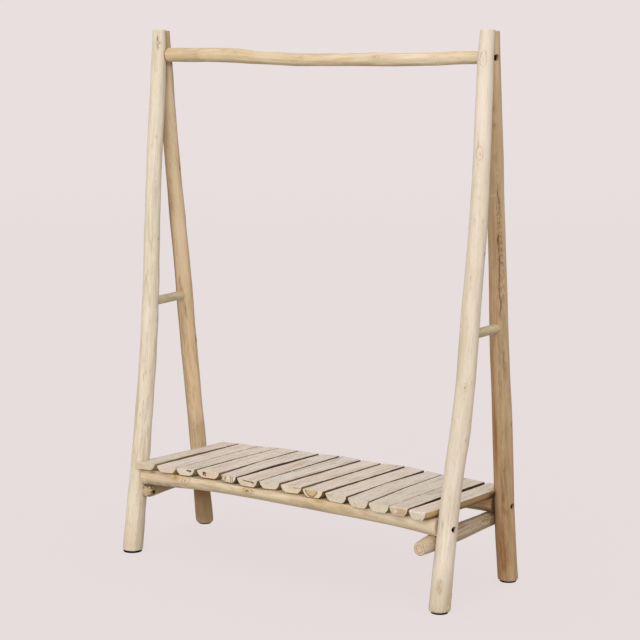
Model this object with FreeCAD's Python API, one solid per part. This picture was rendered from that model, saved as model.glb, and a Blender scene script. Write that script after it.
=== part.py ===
import FreeCAD, Part
import os
import math
from FreeCAD import Vector as V

# ---------------------------------------------------------------------------
# Coat rack bench: two A-frames of natural round poles, a hanging rail between
# their tops and a low seat of half-log slats between their legs.
# Millimetres, +Z up, +X to the right and -Y to the front of the rack.
# ---------------------------------------------------------------------------

# --- overall -----------------------------------------------------------------
FLOOR = -7.5                    # the floor, in the heights used below; each piece is moved up by this at the end
HEIGHT = 1500.0                 # of the leg tables
TOPS = {"left_front_leg": 1502.4, "left_rear_leg": 1500.0,      # sawn tops of the legs
        "right_front_leg": 1502.6, "right_rear_leg": 1499.2}
SEAT_TOP = 260.0                # flat faces of the slats
SLAT_SEAT = 237.0               # planed tops of the seat rails, under the slats
BOX_CENTRE = (0.63, 1.75)        # middle of the rack in the lists below

# --- legs ----------------------------------------------------------------------
# foot and top: middle of the pole at height 0 and at its top (x, y).
# shape: height, bow of the pole sideways along BOW_DIR, radius.
BOW_DIR = (0.8124, 0.5831)
LEGS = {
    "left_front_leg": dict(foot=(-516.2, -191.1), top=(-553.9, -13.0), shape=[
        (0, -2.1, 29.5), (60, 0.3, 28.9), (120, 2.1, 28.4), (200, 5.0, 27.5),
        (300, 8.6, 26.5), (400, 11.3, 25.7), (500, 13.6, 25.5), (600, 15.2, 25.2),
        (700, 14.7, 24.4), (800, 12.6, 23.4), (900, 9.9, 22.9), (1000, 7.9, 23.0),
        (1100, 6.4, 22.9), (1200, 6.0, 22.7), (1300, 5.6, 22.4), (1400, 4.5, 21.9),
        (1460, 2.6, 20.2), (1500, 0.9, 18.4)]),
    "left_rear_leg": dict(foot=(-560.2, 190.2), top=(-553.9, 13.0), shape=[
        (0, 2.5, 26.7), (60, 1.6, 26.3), (120, 1.1, 25.6), (200, 1.2, 25.1),
        (300, 0.6, 24.8), (400, -1.0, 24.5), (500, -2.3, 24.5), (600, -3.4, 24.7),
        (700, -3.9, 24.5), (800, -3.9, 24.0), (900, -5.0, 23.7), (1000, -6.4, 23.2),
        (1100, -7.8, 22.6), (1200, -8.2, 22.1), (1300, -7.6, 21.7), (1400, -6.6, 21.3),
        (1500, -5.9, 20.5)]),
    "right_front_leg": dict(foot=(539.7, -183.5), top=(553.9, -13.0), shape=[
        (0, -2.9, 29.5), (60, -2.2, 29.0), (120, -1.4, 28.1), (200, 0.6, 26.5),
        (300, 3.4, 26.0), (400, 8.6, 26.5), (500, 14.8, 26.4), (600, 17.3, 25.9),
        (700, 16.3, 25.4), (800, 15.9, 24.9), (900, 16.4, 24.4), (1000, 16.2, 24.1),
        (1100, 13.7, 23.7), (1200, 10.3, 22.9), (1300, 5.7, 22.4), (1400, 1.9, 22.1),
        (1450, 0.6, 21.1), (1500, 0.4, 19.6)]),
    "right_rear_leg": dict(foot=(528.3, 181.5), top=(553.9, 13.0), shape=[
        (0, 1.2, 28.7), (60, -1.0, 28.3), (120, -2.6, 28.1), (200, -3.4, 27.6),
        (300, -2.9, 27.3), (400, -3.2, 27.5), (500, -3.6, 27.2), (600, -4.7, 26.2),
        (700, -5.2, 25.5), (800, -4.8, 24.6), (900, -4.5, 24.0), (1000, -4.5, 23.5),
        (1100, -4.2, 22.9), (1200, -3.2, 22.4), (1300, -3.2, 21.9), (1400, -3.3, 21.3),
        (1500, -2.5, 20.5)]),
}
SEAM_Y = -1.0                   # flat where the two legs of a frame meet at the top
FOOT_CHAMFER = 4.0

# --- hanging rail: x, height of its middle, radius ------------------------------
TOP_RAIL_Y = SEAM_Y
TOP_RAIL = [(-545, 1430.0, 20.0), (-486, 1430.3, 19.6), (-411, 1431.0, 20.3),
            (-338, 1431.0, 20.8), (-266, 1429.4, 20.3), (-194, 1424.2, 17.9),
            (-124, 1422.2, 17.6), (-55, 1420.3, 17.7), (13, 1420.6, 17.5),
            (80, 1421.7, 17.5), (146, 1422.5, 17.6), (199, 1423.6, 18.2),
            (276, 1423.3, 17.5), (339, 1425.2, 17.9), (401, 1426.9, 17.5),
            (469, 1430.0, 17.0), (540, 1431.2, 16.5)]
TOP_RAIL_BOLT_Z = {"left": 1430.0, "right": 1431.2}
TOP_BOLT_Y = 9.6                # in the rear legs, just behind the seam

# --- seat rails: x, height of the middle, radius ---------------------------------
FRONT_RAIL = [(-505, 215.2, 24.4), (-435, 215.9, 22.9), (-360, 219.9, 22.1),
              (-285, 224.4, 22.2), (-140, 226.9, 22.6), (0, 226.3, 22.9),
              (136, 224.7, 23.8), (300, 222.5, 23.9), (430, 218.5, 24.5), (530, 212.6, 26.0)]
REAR_RAIL = [(-545, 214.0, 24.0), (-400, 216.0, 23.4), (-200, 219.0, 23.0),
             (0, 219.5, 23.2), (200, 217.5, 24.2), (388, 213.4, 25.2), (515, 213.0, 25.4)]
SEAT_RAIL_Z = {"left_front_leg": 215.2, "right_front_leg": 215.4,
               "left_rear_leg": 214.0, "right_rear_leg": 213.0}
RAIL_HOUSING = 3.0              # depth of the flat that each rail end seats on

# --- bearers under the seat rails: y, height of the middle, radius -----------------
LEFT_BEARER = [(-178, 173.6, 18.4), (-120, 173.9, 19.2), (0, 174.4, 19.4),
               (120, 174.0, 19.3), (202, 173.5, 18.6)]
RIGHT_BEARER = [(-226, 166.0, 18.8), (-150, 168.6, 23.0), (-30, 168.4, 22.9),
                (84, 169.4, 21.8), (158, 169.8, 20.6), (204, 169.6, 19.6)]
BEARER_LAP = 5.0                # bearer and leg are both planed where they cross
BEARER_LAP_IN_LEG = 2.0
RAIL_REST = {("left_bearer", "front_seat_rail"): 191.8, ("left_bearer", "rear_seat_rail"): 191.6,
             ("right_bearer", "front_seat_rail"): 190.0, ("right_bearer", "rear_seat_rail"): 188.9}

# --- rungs ------------------------------------------------------------------------
RUNG_R = 13.0
RUNG_TENON = 16.0               # how far each end is let into its leg
RUNG_Z = {"left": (718.0, 716.0), "right": (716.5, 712.5)}   # at the front leg, at the rear leg

# --- slats: left and right edge of the flat face (x) at the front, middle and rear,
#     y of the front end at its left and right corner, y of the rear end likewise -----
SLATS = [
    ((-502.0, -487.0, -479.0), (-438.0, -435.0, -424.5), (-195.4, -184.0), (180.0, 192.0)),
    ((-422.0, -417.0, -417.5), (-360.0, -356.3, -354.0), (-194.0, -183.0), (196.0, 194.5)),
    ((-357.0, -354.3, -350.5), (-302.0, -297.2, -287.7), (-184.0, -172.0), (195.0, 212.0)),
    ((-292.0, -292.0, -284.3), (-218.0, -221.0, -218.7), (-170.5, -164.0), (214.0, 217.5)),
    ((-200.0, -215.5, -211.2), (-148.0, -154.0, -142.3), (-175.0, -176.0), (217.5, 216.5)),
    ((-138.5, -135.5, -132.8), (-69.0, -72.0, -77.0), (-181.0, -180.5), (217.5, 229.0)),
    ((-65.5, -66.5, -66.5), (-5.0, 1.0, 5.0), (-175.0, -162.0), (229.5, 222.0)),
    ((9.5, 13.0, 17.0), (73.0, 77.5, 78.5), (-174.5, -165.0), (219.0, 218.5)),
    ((89.0, 86.5, 87.5), (150.5, 154.5, 155.0), (-180.0, -176.0), (220.0, 227.5)),
    ((165.5, 164.5, 166.0), (236.0, 230.5, 230.5), (-181.0, -184.0), (228.5, 213.0)),
    ((247.0, 235.0, 245.5), (315.5, 302.5, 299.5), (-191.0, -197.0), (211.0, 199.0)),
    ((324.0, 308.0, 303.0), (385.8, 383.4, 379.2), (-206.0, -202.5), (197.5, 200.0)),
    ((386.7, 384.4, 380.2), (444.5, 441.5, 446.0), (-202.0, -201.5), (200.0, 188.5)),
    ((453.0, 458.5, 460.5), (508.0, 520.0, 514.0), (-208.5, -214.0), (187.5, 189.0)),
]
SLAT_SIDE = 0.90                # half width of a slat halfway down, against its flat face
SLAT_FOOT = 0.46                # half width of its planed underside, against its flat face
SQUARE_SIDE, SQUARE_FOOT = 0.985, 0.93    # the same for the sawn outer side of the first slat
LEG_CLEAR = 1.5                 # room around a leg where a slat is cut out for it

# --- fasteners ----------------------------------------------------------------------
BOLT_R = 4.0                    # M8 socket-head bolts
BOLT_HOLE_R = 4.2
HEAD_R, HEAD_H = 6.5, 8.0
SOCKET_AF, SOCKET_DEPTH = 6.0, 4.5
WASHER_R, WASHER_T = 8.0, 1.6
CBORE_R = 8.4
SEAT_BOLT_L, TOP_BOLT_L = 55.0, 45.0
SEAT_BOLT_SHIFT = {"right_front_leg": -7.5, "right_rear_leg": -2.0}     # y from the leg's middle
INSERT_R, INSERT_L = 6.0, 18.0
LEG_CBORE_DEPTH = 17.0          # from the outside of a leg down to the washer
TOP_CBORE_X = 549.0             # washer plane at the frame tops
SLAT_SCREW = dict(r=2.0, head_r=4.0, head_h=2.5, seat=210.0, tip=250.0, hole_r=4.4)
SLAT_SCREW_SHIFT = {(0, "front"): 7.5, (13, "rear"): -8.0}     # clear of the rail bolts
BEARER_SCREW = dict(r=2.5, head_r=4.5, head_h=3.0, length=46.0, recess_r=6.0, recess=8.0)
BEARER_SCREW_SHIFT = {"left_front_leg": (6.0, -3.0)}    # y, z from the leg's middle
APEX_SCREW = dict(r=2.5, head_r=4.5, head_h=3.0, length=50.0, recess_r=5.0, z=1474.0)
# pads of several thicknesses level the rack: radius, thickness
PADS = {"left_front_leg": (27.0, 6.0), "left_rear_leg": (19.0, 3.2),
        "right_front_leg": (23.0, 5.2), "right_rear_leg": (23.0, 4.6)}
NAIL = dict(r=1.5, head_r=4.5, head_h=1.2, head_z=1.0, tip=30.0)      # heights above the floor


# ---------------------------------------------------------------------------
# helpers
# ---------------------------------------------------------------------------
def lerp_list(rows, t):
    """Values at t in rows of (t, a, b), on a smooth curve through them."""
    n = len(rows)
    if t <= rows[0][0]:
        return rows[0][1:]
    if t >= rows[-1][0]:
        return rows[-1][1:]
    i = max(k for k in range(n) if rows[k][0] <= t)
    i = min(i, n - 2)
    t0, t1 = rows[i][0], rows[i + 1][0]
    h = t1 - t0
    u = (t - t0) / h
    out = []
    for c in range(1, len(rows[0])):
        p0, p1 = rows[i][c], rows[i + 1][c]
        m0 = (rows[i + 1][c] - rows[i - 1][c]) / (rows[i + 1][0] - rows[i - 1][0]) if i > 0 else (p1 - p0) / h
        m1 = (rows[i + 2][c] - rows[i][c]) / (rows[i + 2][0] - rows[i][0]) if i < n - 2 else (p1 - p0) / h
        out.append((2 * u**3 - 3 * u**2 + 1) * p0 + (u**3 - 2 * u**2 + u) * h * m0
                   + (-2 * u**3 + 3 * u**2) * p1 + (u**3 - u**2) * h * m1)
    return tuple(out)


def leg_at(name, z):
    """Middle (x, y) and radius of a leg at height z."""
    leg = LEGS[name]
    bow, r = lerp_list(leg["shape"], z)
    f = z / HEIGHT
    x = leg["foot"][0] + (leg["top"][0] - leg["foot"][0]) * f + bow * BOW_DIR[0]
    y = leg["foot"][1] + (leg["top"][1] - leg["foot"][1]) * f + bow * BOW_DIR[1]
    return x, y, r


def ring(c, n, r):
    return Part.Wire([Part.makeCircle(r, c, n)])


def loft(wires):
    return Part.makeLoft(wires, True, False)


def even(rows, step):
    """The same smooth curve as rows of (t, a, b), at even steps."""
    n = max(4, int(round((rows[-1][0] - rows[0][0]) / step)))
    ts = [rows[0][0] + (rows[-1][0] - rows[0][0]) * k / n for k in range(n + 1)]
    return [(t,) + tuple(lerp_list(rows, t)) for t in ts]


def box(x0, x1, y0, y1, z0, z1):
    return Part.makeBox(x1 - x0, y1 - y0, z1 - z0, V(x0, y0, z0))


def cyl(r, a, b):
    """Cylinder of radius r from point a to point b."""
    d = b.sub(a)
    return Part.makeCylinder(r, d.Length, a, d)


def one(shape):
    s = shape.removeSplitter() if len(shape.Solids) == 1 else shape
    if len(s.Solids) != 1 or not s.isValid():
        s = shape
    if len(s.Solids) != 1:
        raise RuntimeError("expected one solid, got %d" % len(s.Solids))
    return s.Solids[0]


def screw(head_at, direction, r, head_r, head_h, length):
    """Pan head ahead of head_at, shank from head_at along direction, pointed end."""
    d = V(direction)
    d.normalize()
    tip = 2.0 * r
    head = cyl(head_r, head_at.sub(d * head_h), head_at)
    drive = cyl(0.45 * head_r, head_at.sub(d * head_h), head_at.sub(d * (0.4 * head_h)))
    shank = cyl(r, head_at, head_at.add(d * (length - tip)))
    point = Part.makeCone(r, 0.3, tip, head_at.add(d * (length - tip)), d)
    return one(head.cut(drive).fuse([shank, point]))


def prism_hex(af, a, b):
    d = b.sub(a)
    r = af / math.sqrt(3.0)
    u = V(0, 0, 1)
    w = V(0, 1, 0)
    pts = [a.add(w * (r * math.cos(math.radians(60 * k)))).add(u * (r * math.sin(math.radians(60 * k))))
           for k in range(6)]
    return Part.Face(Part.makePolygon(pts + [pts[0]])).extrude(d)


def bolt(under_head, inward, length):
    """Socket-head bolt along X: inward is +1 or -1, under_head is the seat of its head."""
    d = V(inward, 0, 0)
    top = under_head.sub(d * HEAD_H)
    head = cyl(HEAD_R, top, under_head).cut(prism_hex(SOCKET_AF, top, top.add(d * SOCKET_DEPTH)))
    return one(head.fuse(cyl(BOLT_R, under_head, under_head.add(d * length))))


# ---------------------------------------------------------------------------
# where the pieces meet
# ---------------------------------------------------------------------------
SIDE = {"left": -1.0, "right": 1.0}                      # outward direction along X


def side_of(name):
    return name.split("_")[0]


# flats on the inside of each leg for the seat rail ends
rail_seat_x = {}
for leg, z in SEAT_RAIL_Z.items():
    x, y, r = leg_at(leg, z)
    s = SIDE[side_of(leg)]
    rail_seat_x[leg] = x - s * (r - RAIL_HOUSING)

# flats on the inside of each leg for the hanging rail
top_seat_x = {}
for leg in LEGS:
    x, y, r = leg_at(leg, TOP_RAIL_BOLT_Z[side_of(leg)])
    top_seat_x[leg] = x - SIDE[side_of(leg)] * (r - 2.5)

# planes where bearers lie against the legs, and the bearers' middles
BEARERS = {"left_bearer": LEFT_BEARER, "right_bearer": RIGHT_BEARER}
lap_x, bearer_end = {}, {}
for name, rows in BEARERS.items():
    s = SIDE[side_of(name)]
    pts = []
    for leg in (side_of(name) + "_front_leg", side_of(name) + "_rear_leg"):
        zb = lerp_list(rows, leg_at(leg, 170.0)[1])[0]
        x, y, r = leg_at(leg, zb)
        rb = lerp_list(rows, y)[1]
        lap_x[leg] = x - s * (r - BEARER_LAP_IN_LEG)
        pts.append((y, x - s * (r + rb - BEARER_LAP), zb))
    bearer_end[name] = pts


def bearer_x(name, y):
    (y0, x0, _), (y1, x1, _) = bearer_end[name]
    return x0 + (x1 - x0) * (y - y0) / (y1 - y0)


def rail_y(front_or_rear, x):
    a = "left_%s_leg" % front_or_rear
    b = "right_%s_leg" % front_or_rear
    xa, ya, _ = leg_at(a, SEAT_RAIL_Z[a])
    xb, yb, _ = leg_at(b, SEAT_RAIL_Z[b])
    return ya + (yb - ya) * (x - xa) / (xb - xa)


def rung_ends(side):
    zf, zr = RUNG_Z[side]
    xf, yf, rf = leg_at(side + "_front_leg", zf)
    xr, yr, rr = leg_at(side + "_rear_leg", zr)
    a, b = V(xf, yf, zf), V(xr, yr, zr)
    d = b.sub(a)
    d.normalize()
    return a.add(d * (rf - RUNG_TENON)), b.sub(d * (rr - RUNG_TENON))


# slat screws: one through each seat rail into the middle of each slat
def slat_mid(i, y):
    (l0, l1, l2), (r0, r1, r2), fy, ry = SLATS[i]
    t = (y - sum(fy) / 2) / (sum(ry) / 2 - sum(fy) / 2)
    left = l0 + (l1 - l0) * 2 * t if t < 0.5 else l1 + (l2 - l1) * (2 * t - 1)
    right = r0 + (r1 - r0) * 2 * t if t < 0.5 else r1 + (r2 - r1) * (2 * t - 1)
    return 0.5 * (left + right)


slat_screw_at = {"front": [], "rear": []}
for i in range(len(SLATS)):
    for which in ("front", "rear"):
        x = slat_mid(i, rail_y(which, 0.0)) + SLAT_SCREW_SHIFT.get((i, which), 0.0)
        slat_screw_at[which].append((x, rail_y(which, x)))


# ---------------------------------------------------------------------------
# pieces
# ---------------------------------------------------------------------------
parts = {}

# legs
for name in LEGS:
    s = SIDE[side_of(name)]
    front = "front" in name
    up = V(0, 0, 1)
    wires = []
    foot = FLOOR + PADS[name][1]
    for k in range(21):
        z = foot + (TOPS[name] - foot) * k / 20.0
        x, y, r = leg_at(name, z)
        wires.append(ring(V(x, y, z), up, r))
    body = loft(wires)
    tools = []
    # flat against the other leg
    tools.append(box(-800, 800, SEAM_Y if front else SEAM_Y - 200, SEAM_Y + 200 if front else SEAM_Y,
                     1250, HEIGHT + 50))
    # flat for the hanging rail
    zt = TOP_RAIL_BOLT_Z[side_of(name)]
    rt = TOP_RAIL[0][2] if s < 0 else TOP_RAIL[-1][2]
    tools.append(cyl(rt + 1.5, V(top_seat_x[name], TOP_RAIL_Y, zt), V(top_seat_x[name] - s * 60, TOP_RAIL_Y, zt)))
    # hanging rail bolt, through the rear leg
    if not front:
        tools.append(cyl(BOLT_HOLE_R, V(s * 500, TOP_BOLT_Y, zt), V(s * 640, TOP_BOLT_Y, zt)))
        tools.append(cyl(CBORE_R, V(s * TOP_CBORE_X, TOP_BOLT_Y, zt), V(s * 640, TOP_BOLT_Y, zt)))
    # flat, bolt hole and counterbore for the seat rail
    zs = SEAT_RAIL_Z[name]
    x, y, r = leg_at(name, zs)
    which = "front" if front else "rear"
    rr = (FRONT_RAIL if front else REAR_RAIL)[0 if s < 0 else -1][2]
    xs = rail_seat_x[name]
    tools.append(cyl(rr + 2.0, V(xs, y, zs), V(xs - s * 60, y, zs)))
    yh = y + SEAT_BOLT_SHIFT.get(name, 0.0)
    tools.append(cyl(BOLT_HOLE_R, V(x - s * 60, yh, zs), V(x + s * 60, yh, zs)))
    tools.append(cyl(CBORE_R, V(x + s * (r - LEG_CBORE_DEPTH), yh, zs), V(x + s * 60, yh, zs)))
    # flat and pilot hole for the bearer
    side = side_of(name) + "_bearer"
    zb, rb = lerp_list(BEARERS[side], y)
    xl = lap_x[name]
    tools.append(box(min(xl, xl - s * 60), max(xl, xl - s * 60), y - 60, y + 60, zb - rb - 1.0, zb + rb + 1.0))
    yb = leg_at(name, zb)[1]
    dy, dz = BEARER_SCREW_SHIFT.get(name, (0.0, 0.0))
    yb, zh = yb + dy, zb + dz
    xh = bearer_x(side, yb) - s * (rb - BEARER_SCREW["recess"])
    tools.append(cyl(BEARER_SCREW["r"], V(xl - s * 5, yb, zh), V(xh + s * BEARER_SCREW["length"], yb, zh)))
    # rung mortise
    a, b = rung_ends(side_of(name))
    d = b.sub(a)
    d.normalize()
    tools.append(cyl(RUNG_R, a, a.add(d * 60)) if front else cyl(RUNG_R, b.sub(d * 60), b))
    # apex screw
    za = APEX_SCREW["z"]
    xa, ya, ra = leg_at(side_of(name) + "_rear_leg", za)
    xf, yf, rf = leg_at(side_of(name) + "_front_leg", za)
    xm = 0.5 * (xa + xf)
    ys = ya + ra - 9.0
    tools.append(cyl(APEX_SCREW["r"], V(xm, ys, za), V(xm, ys - APEX_SCREW["length"], za)))
    if not front:
        tools.append(cyl(APEX_SCREW["recess_r"], V(xm, ys, za), V(xm, ys + 40, za)))
    # nail and softened foot
    xf, yf, rf = leg_at(name, foot)
    tools.append(cyl(NAIL["r"], V(xf, yf, FLOOR - 1), V(xf, yf, FLOOR + NAIL["tip"])))
    c = FOOT_CHAMFER if rf - PADS[name][0] > FOOT_CHAMFER else rf - PADS[name][0]
    tools.append(Part.makeCylinder(rf + 20, c + 1, V(xf, yf, foot - 1)).cut(
        Part.makeCone(rf - c - 1, rf, c + 1, V(xf, yf, foot - 1))))
    parts[name] = one(body.cut(tools))

# hanging rail
ax = V(1, 0, 0)
body = loft([ring(V(x, TOP_RAIL_Y, z), ax, r) for x, z, r in even(TOP_RAIL, 60.0)])
tools = []
for side, s in SIDE.items():
    zt = TOP_RAIL_BOLT_Z[side]
    for which in ("front", "rear"):
        xe = top_seat_x["%s_%s_leg" % (side, which)]
        y0, y1 = (SEAM_Y - 80, SEAM_Y) if which == "front" else (SEAM_Y, SEAM_Y + 80)
        tools.append(box(min(xe, xe + s * 60), max(xe, xe + s * 60), y0, y1, zt - 60, zt + 60))
    deep = min(abs(top_seat_x[side + "_front_leg"]), abs(top_seat_x[side + "_rear_leg"]))
    tools.append(cyl(INSERT_R, V(s * 640, TOP_BOLT_Y, zt), V(s * (deep - INSERT_L), TOP_BOLT_Y, zt)))
    tools.append(cyl(BOLT_HOLE_R, V(s * 600, TOP_BOLT_Y, zt),
                     V(s * (TOP_CBORE_X + WASHER_T - TOP_BOLT_L - 3), TOP_BOLT_Y, zt)))
parts["top_rail"] = one(body.cut(tools))

# rungs
for side in SIDE:
    a, b = rung_ends(side)
    parts[side + "_rung"] = cyl(RUNG_R, a, b)

# seat rails
for which, rows in (("front", FRONT_RAIL), ("rear", REAR_RAIL)):
    name = which + "_seat_rail"
    body = loft([ring(V(x, rail_y(which, x), z), ax, r) for x, z, r in even(rows, 75.0)])
    tools = [box(-800, 800, -400, 400, SLAT_SEAT, SLAT_SEAT + 80)]
    for side, s in SIDE.items():
        leg = "%s_%s_leg" % (side, which)
        xe, ze, ye = rail_seat_x[leg], SEAT_RAIL_Z[leg], leg_at(leg, SEAT_RAIL_Z[leg])[1]
        tools.append(box(min(xe, xe + s * 60), max(xe, xe + s * 60), ye - 80, ye + 80, ze - 60, ze + 60))
        yh = ye + SEAT_BOLT_SHIFT.get(leg, 0.0)
        tools.append(cyl(INSERT_R, V(xe + s * 40, yh, ze), V(xe - s * INSERT_L, yh, ze)))
        xu = leg_at(leg, ze)[0] + s * (leg_at(leg, ze)[2] - LEG_CBORE_DEPTH + WASHER_T)
        tools.append(cyl(BOLT_HOLE_R, V(xe + s * 40, yh, ze), V(xu - s * (SEAT_BOLT_L + 3), yh, ze)))
        # flat where it rests on the bearer
        bearer = side + "_bearer"
        yc = rail_y(which, bearer_x(bearer, ye))
        xb, rb = bearer_x(bearer, yc), lerp_list(BEARERS[bearer], yc)[1]
        zr = RAIL_REST[(bearer, name)]
        tools.append(box(xb - rb - 6, xb + rb + 6, yc - 60, yc + 60, zr - 60, zr))
    for x, y in slat_screw_at[which]:
        tools.append(cyl(SLAT_SCREW["hole_r"], V(x, y, 150), V(x, y, SLAT_SCREW["seat"])))
        tools.append(cyl(SLAT_SCREW["r"], V(x, y, 150), V(x, y, SLAT_SCREW["tip"])))
    parts[name] = one(body.cut(tools))

# bearers
ay = V(0, 1, 0)
for name, rows in BEARERS.items():
    s = SIDE[side_of(name)]
    body = loft([ring(V(bearer_x(name, y), y, z), ay, r) for y, z, r in even(rows, 55.0)])
    tools = []
    for which in ("front", "rear"):
        leg = "%s_%s_leg" % (side_of(name), which)
        xl, (_, yl, _) = lap_x[leg], leg_at(leg, 172.0)
        tools.append(box(min(xl, xl + s * 60), max(xl, xl + s * 60), yl - 45, yl + 45, 100, 240))
        ye = leg_at(leg, SEAT_RAIL_Z[leg])[1]
        yc = rail_y(which, bearer_x(name, ye))
        xb = bearer_x(name, yc)
        zr = RAIL_REST[(name, which + "_seat_rail")]
        tools.append(box(xb - 60, xb + 60, yc - 32, yc + 32, zr, zr + 60))
        ys = leg_at(leg, SEAT_RAIL_Z[leg])[1]
        zb, rb = lerp_list(rows, ys)
        yb = leg_at(leg, zb)[1]
        dy, dz = BEARER_SCREW_SHIFT.get(leg, (0.0, 0.0))
        yb, zb = yb + dy, zb + dz
        xh = bearer_x(name, yb) - s * (rb - BEARER_SCREW["recess"])
        tools.append(cyl(BEARER_SCREW["recess_r"], V(xh - s * 60, yb, zb), V(xh, yb, zb)))
        tools.append(cyl(BEARER_SCREW["r"], V(xh - s * 5, yb, zb), V(xh + s * 60, yb, zb)))
    parts[name] = one(body.cut(tools))


# slats: sawn flat above, round below, planed where they lie on the rails (the outline
# runs 2 mm past both flats, which are then cut)
def slat_wire(xl, xr, yl, yr, square=False):
    xm, h = 0.5 * (xl + xr), 0.5 * (xr - xl)
    side, foot = (SQUARE_SIDE, SQUARE_FOOT) if square else (SLAT_SIDE, SLAT_FOOT)

    def pt(k, z):
        x = xm + k * h
        return V(x, yl + (yr - yl) * (x - xl) / (xr - xl), z)

    zm = 0.5 * (SEAT_TOP + SLAT_SEAT)
    a, b = pt(-1, SEAT_TOP + 2), pt(1, SEAT_TOP + 2)
    c, d = pt(SLAT_FOOT, SLAT_SEAT - 2), pt(-foot, SLAT_SEAT - 2)
    return Part.Wire([Part.LineSegment(a, b).toShape(),
                      Part.Arc(b, pt(SLAT_SIDE, zm), c).toShape(),
                      Part.LineSegment(c, d).toShape(),
                      Part.Arc(d, pt(-side, zm), a).toShape()])


for i, (left, right, fy, ry) in enumerate(SLATS):
    my = 0.25 * (sum(fy) + sum(ry))
    body = Part.makeLoft([slat_wire(left[0], right[0], *fy, i == 0), slat_wire(left[1], right[1], my, my, i == 0),
                          slat_wire(left[2], right[2], *ry, i == 0)], True, True)
    tools = [box(-800, 800, -400, 400, SEAT_TOP, SEAT_TOP + 20), box(-800, 800, -400, 400, SLAT_SEAT - 20, SLAT_SEAT)]
    for which in ("front", "rear"):
        x, y = slat_screw_at[which][i]
        tools.append(cyl(SLAT_SCREW["r"], V(x, y, 200), V(x, y, SLAT_SCREW["tip"])))
    for leg in (("left_front_leg",) if i == 0 else ("right_front_leg", "right_rear_leg") if i == 13 else ()):
        x0, y0, r0 = leg_at(leg, 220.0)
        x1, y1, r1 = leg_at(leg, 275.0)
        tools.append(cyl(max(r0, r1) + LEG_CLEAR, V(x0, y0, 220.0), V(x1, y1, 275.0)))
    body = body.cut(tools)
    if len(body.Solids) > 1:
        body = max(body.Solids, key=lambda q: q.Volume)
    parts["slat_%02d" % (i + 1)] = one(body)

# foot pads
for name in LEGS:
    r, t = PADS[name]
    x, y, _ = leg_at(name, FLOOR + t)
    pad = Part.makeCylinder(r, t, V(x, y, FLOOR))
    edge = [e for e in pad.Edges if abs(e.BoundBox.ZMax - FLOOR) < 1e-6]
    pad = pad.makeChamfer(0.8, edge)
    zh = FLOOR + NAIL["head_z"] + NAIL["head_h"]
    pad = pad.cut([cyl(NAIL["head_r"] + 0.3, V(x, y, FLOOR - 1), V(x, y, zh)),
                   cyl(NAIL["r"], V(x, y, FLOOR - 1), V(x, y, FLOOR + 10))])
    parts[name.replace("_leg", "_foot_pad")] = one(pad)

# fasteners, each kind in one group
groups = {"seat_rail_bolts": [], "top_rail_bolts": [], "bolt_washers": [], "threaded_inserts": [],
          "bearer_screws": [], "apex_screws": [], "slat_screws": [], "foot_pad_nails": []}


def washer(face, inward):
    out = face.sub(V(inward * WASHER_T, 0, 0))
    return cyl(WASHER_R, out, face).cut(cyl(BOLT_HOLE_R, out.sub(V(inward, 0, 0)), face.add(V(inward, 0, 0))))


def insert(face, inward):
    far = face.add(V(inward * INSERT_L, 0, 0))
    return cyl(INSERT_R, face, far).cut(cyl(BOLT_R, face.sub(V(inward, 0, 0)), far.add(V(inward, 0, 0))))


for name in LEGS:
    s = SIDE[side_of(name)]
    z = SEAT_RAIL_Z[name]
    x, y, r = leg_at(name, z)
    yh = y + SEAT_BOLT_SHIFT.get(name, 0.0)
    face = V(x + s * (r - LEG_CBORE_DEPTH), yh, z)
    groups["bolt_washers"].append(washer(face, -s))
    groups["seat_rail_bolts"].append(bolt(face.add(V(s * WASHER_T, 0, 0)), -s, SEAT_BOLT_L))
    groups["threaded_inserts"].append(insert(V(rail_seat_x[name], yh, z), -s))
    bearer = side_of(name) + "_bearer"
    zb, rb = lerp_list(BEARERS[bearer], y)
    yb = leg_at(name, zb)[1]
    dy, dz = BEARER_SCREW_SHIFT.get(name, (0.0, 0.0))
    yb, zb = yb + dy, zb + dz
    xh = bearer_x(bearer, yb) - s * (rb - BEARER_SCREW["recess"])
    groups["bearer_screws"].append(screw(V(xh, yb, zb), V(s, 0, 0), BEARER_SCREW["r"], BEARER_SCREW["head_r"],
                                         BEARER_SCREW["head_h"], BEARER_SCREW["length"]))
    xf, yf, rf = leg_at(name, FLOOR + PADS[name][1])
    zh, tip = FLOOR + NAIL["head_z"], FLOOR + NAIL["tip"]
    groups["foot_pad_nails"].append(one(
        Part.makeCylinder(NAIL["head_r"], NAIL["head_h"], V(xf, yf, zh)).fuse(
            [Part.makeCylinder(NAIL["r"], tip - 4 - zh - NAIL["head_h"], V(xf, yf, zh + NAIL["head_h"])),
             Part.makeCone(NAIL["r"], 0.2, 4, V(xf, yf, tip - 4))])))

for side, s in SIDE.items():
    z = TOP_RAIL_BOLT_Z[side]
    face = V(s * TOP_CBORE_X, TOP_BOLT_Y, z)
    groups["bolt_washers"].append(washer(face, -s))
    groups["top_rail_bolts"].append(bolt(face.add(V(s * WASHER_T, 0, 0)), -s, TOP_BOLT_L))
    deep = min(abs(top_seat_x[side + "_front_leg"]), abs(top_seat_x[side + "_rear_leg"]))
    groups["threaded_inserts"].append(insert(V(s * deep, TOP_BOLT_Y, z), -s))
    za = APEX_SCREW["z"]
    xa, ya, ra = leg_at(side + "_rear_leg", za)
    xf, yf, rf = leg_at(side + "_front_leg", za)
    groups["apex_screws"].append(screw(V(0.5 * (xa + xf), ya + ra - 9.0, za), V(0, -1, 0), APEX_SCREW["r"],
                                       APEX_SCREW["head_r"], APEX_SCREW["head_h"], APEX_SCREW["length"]))

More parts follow.
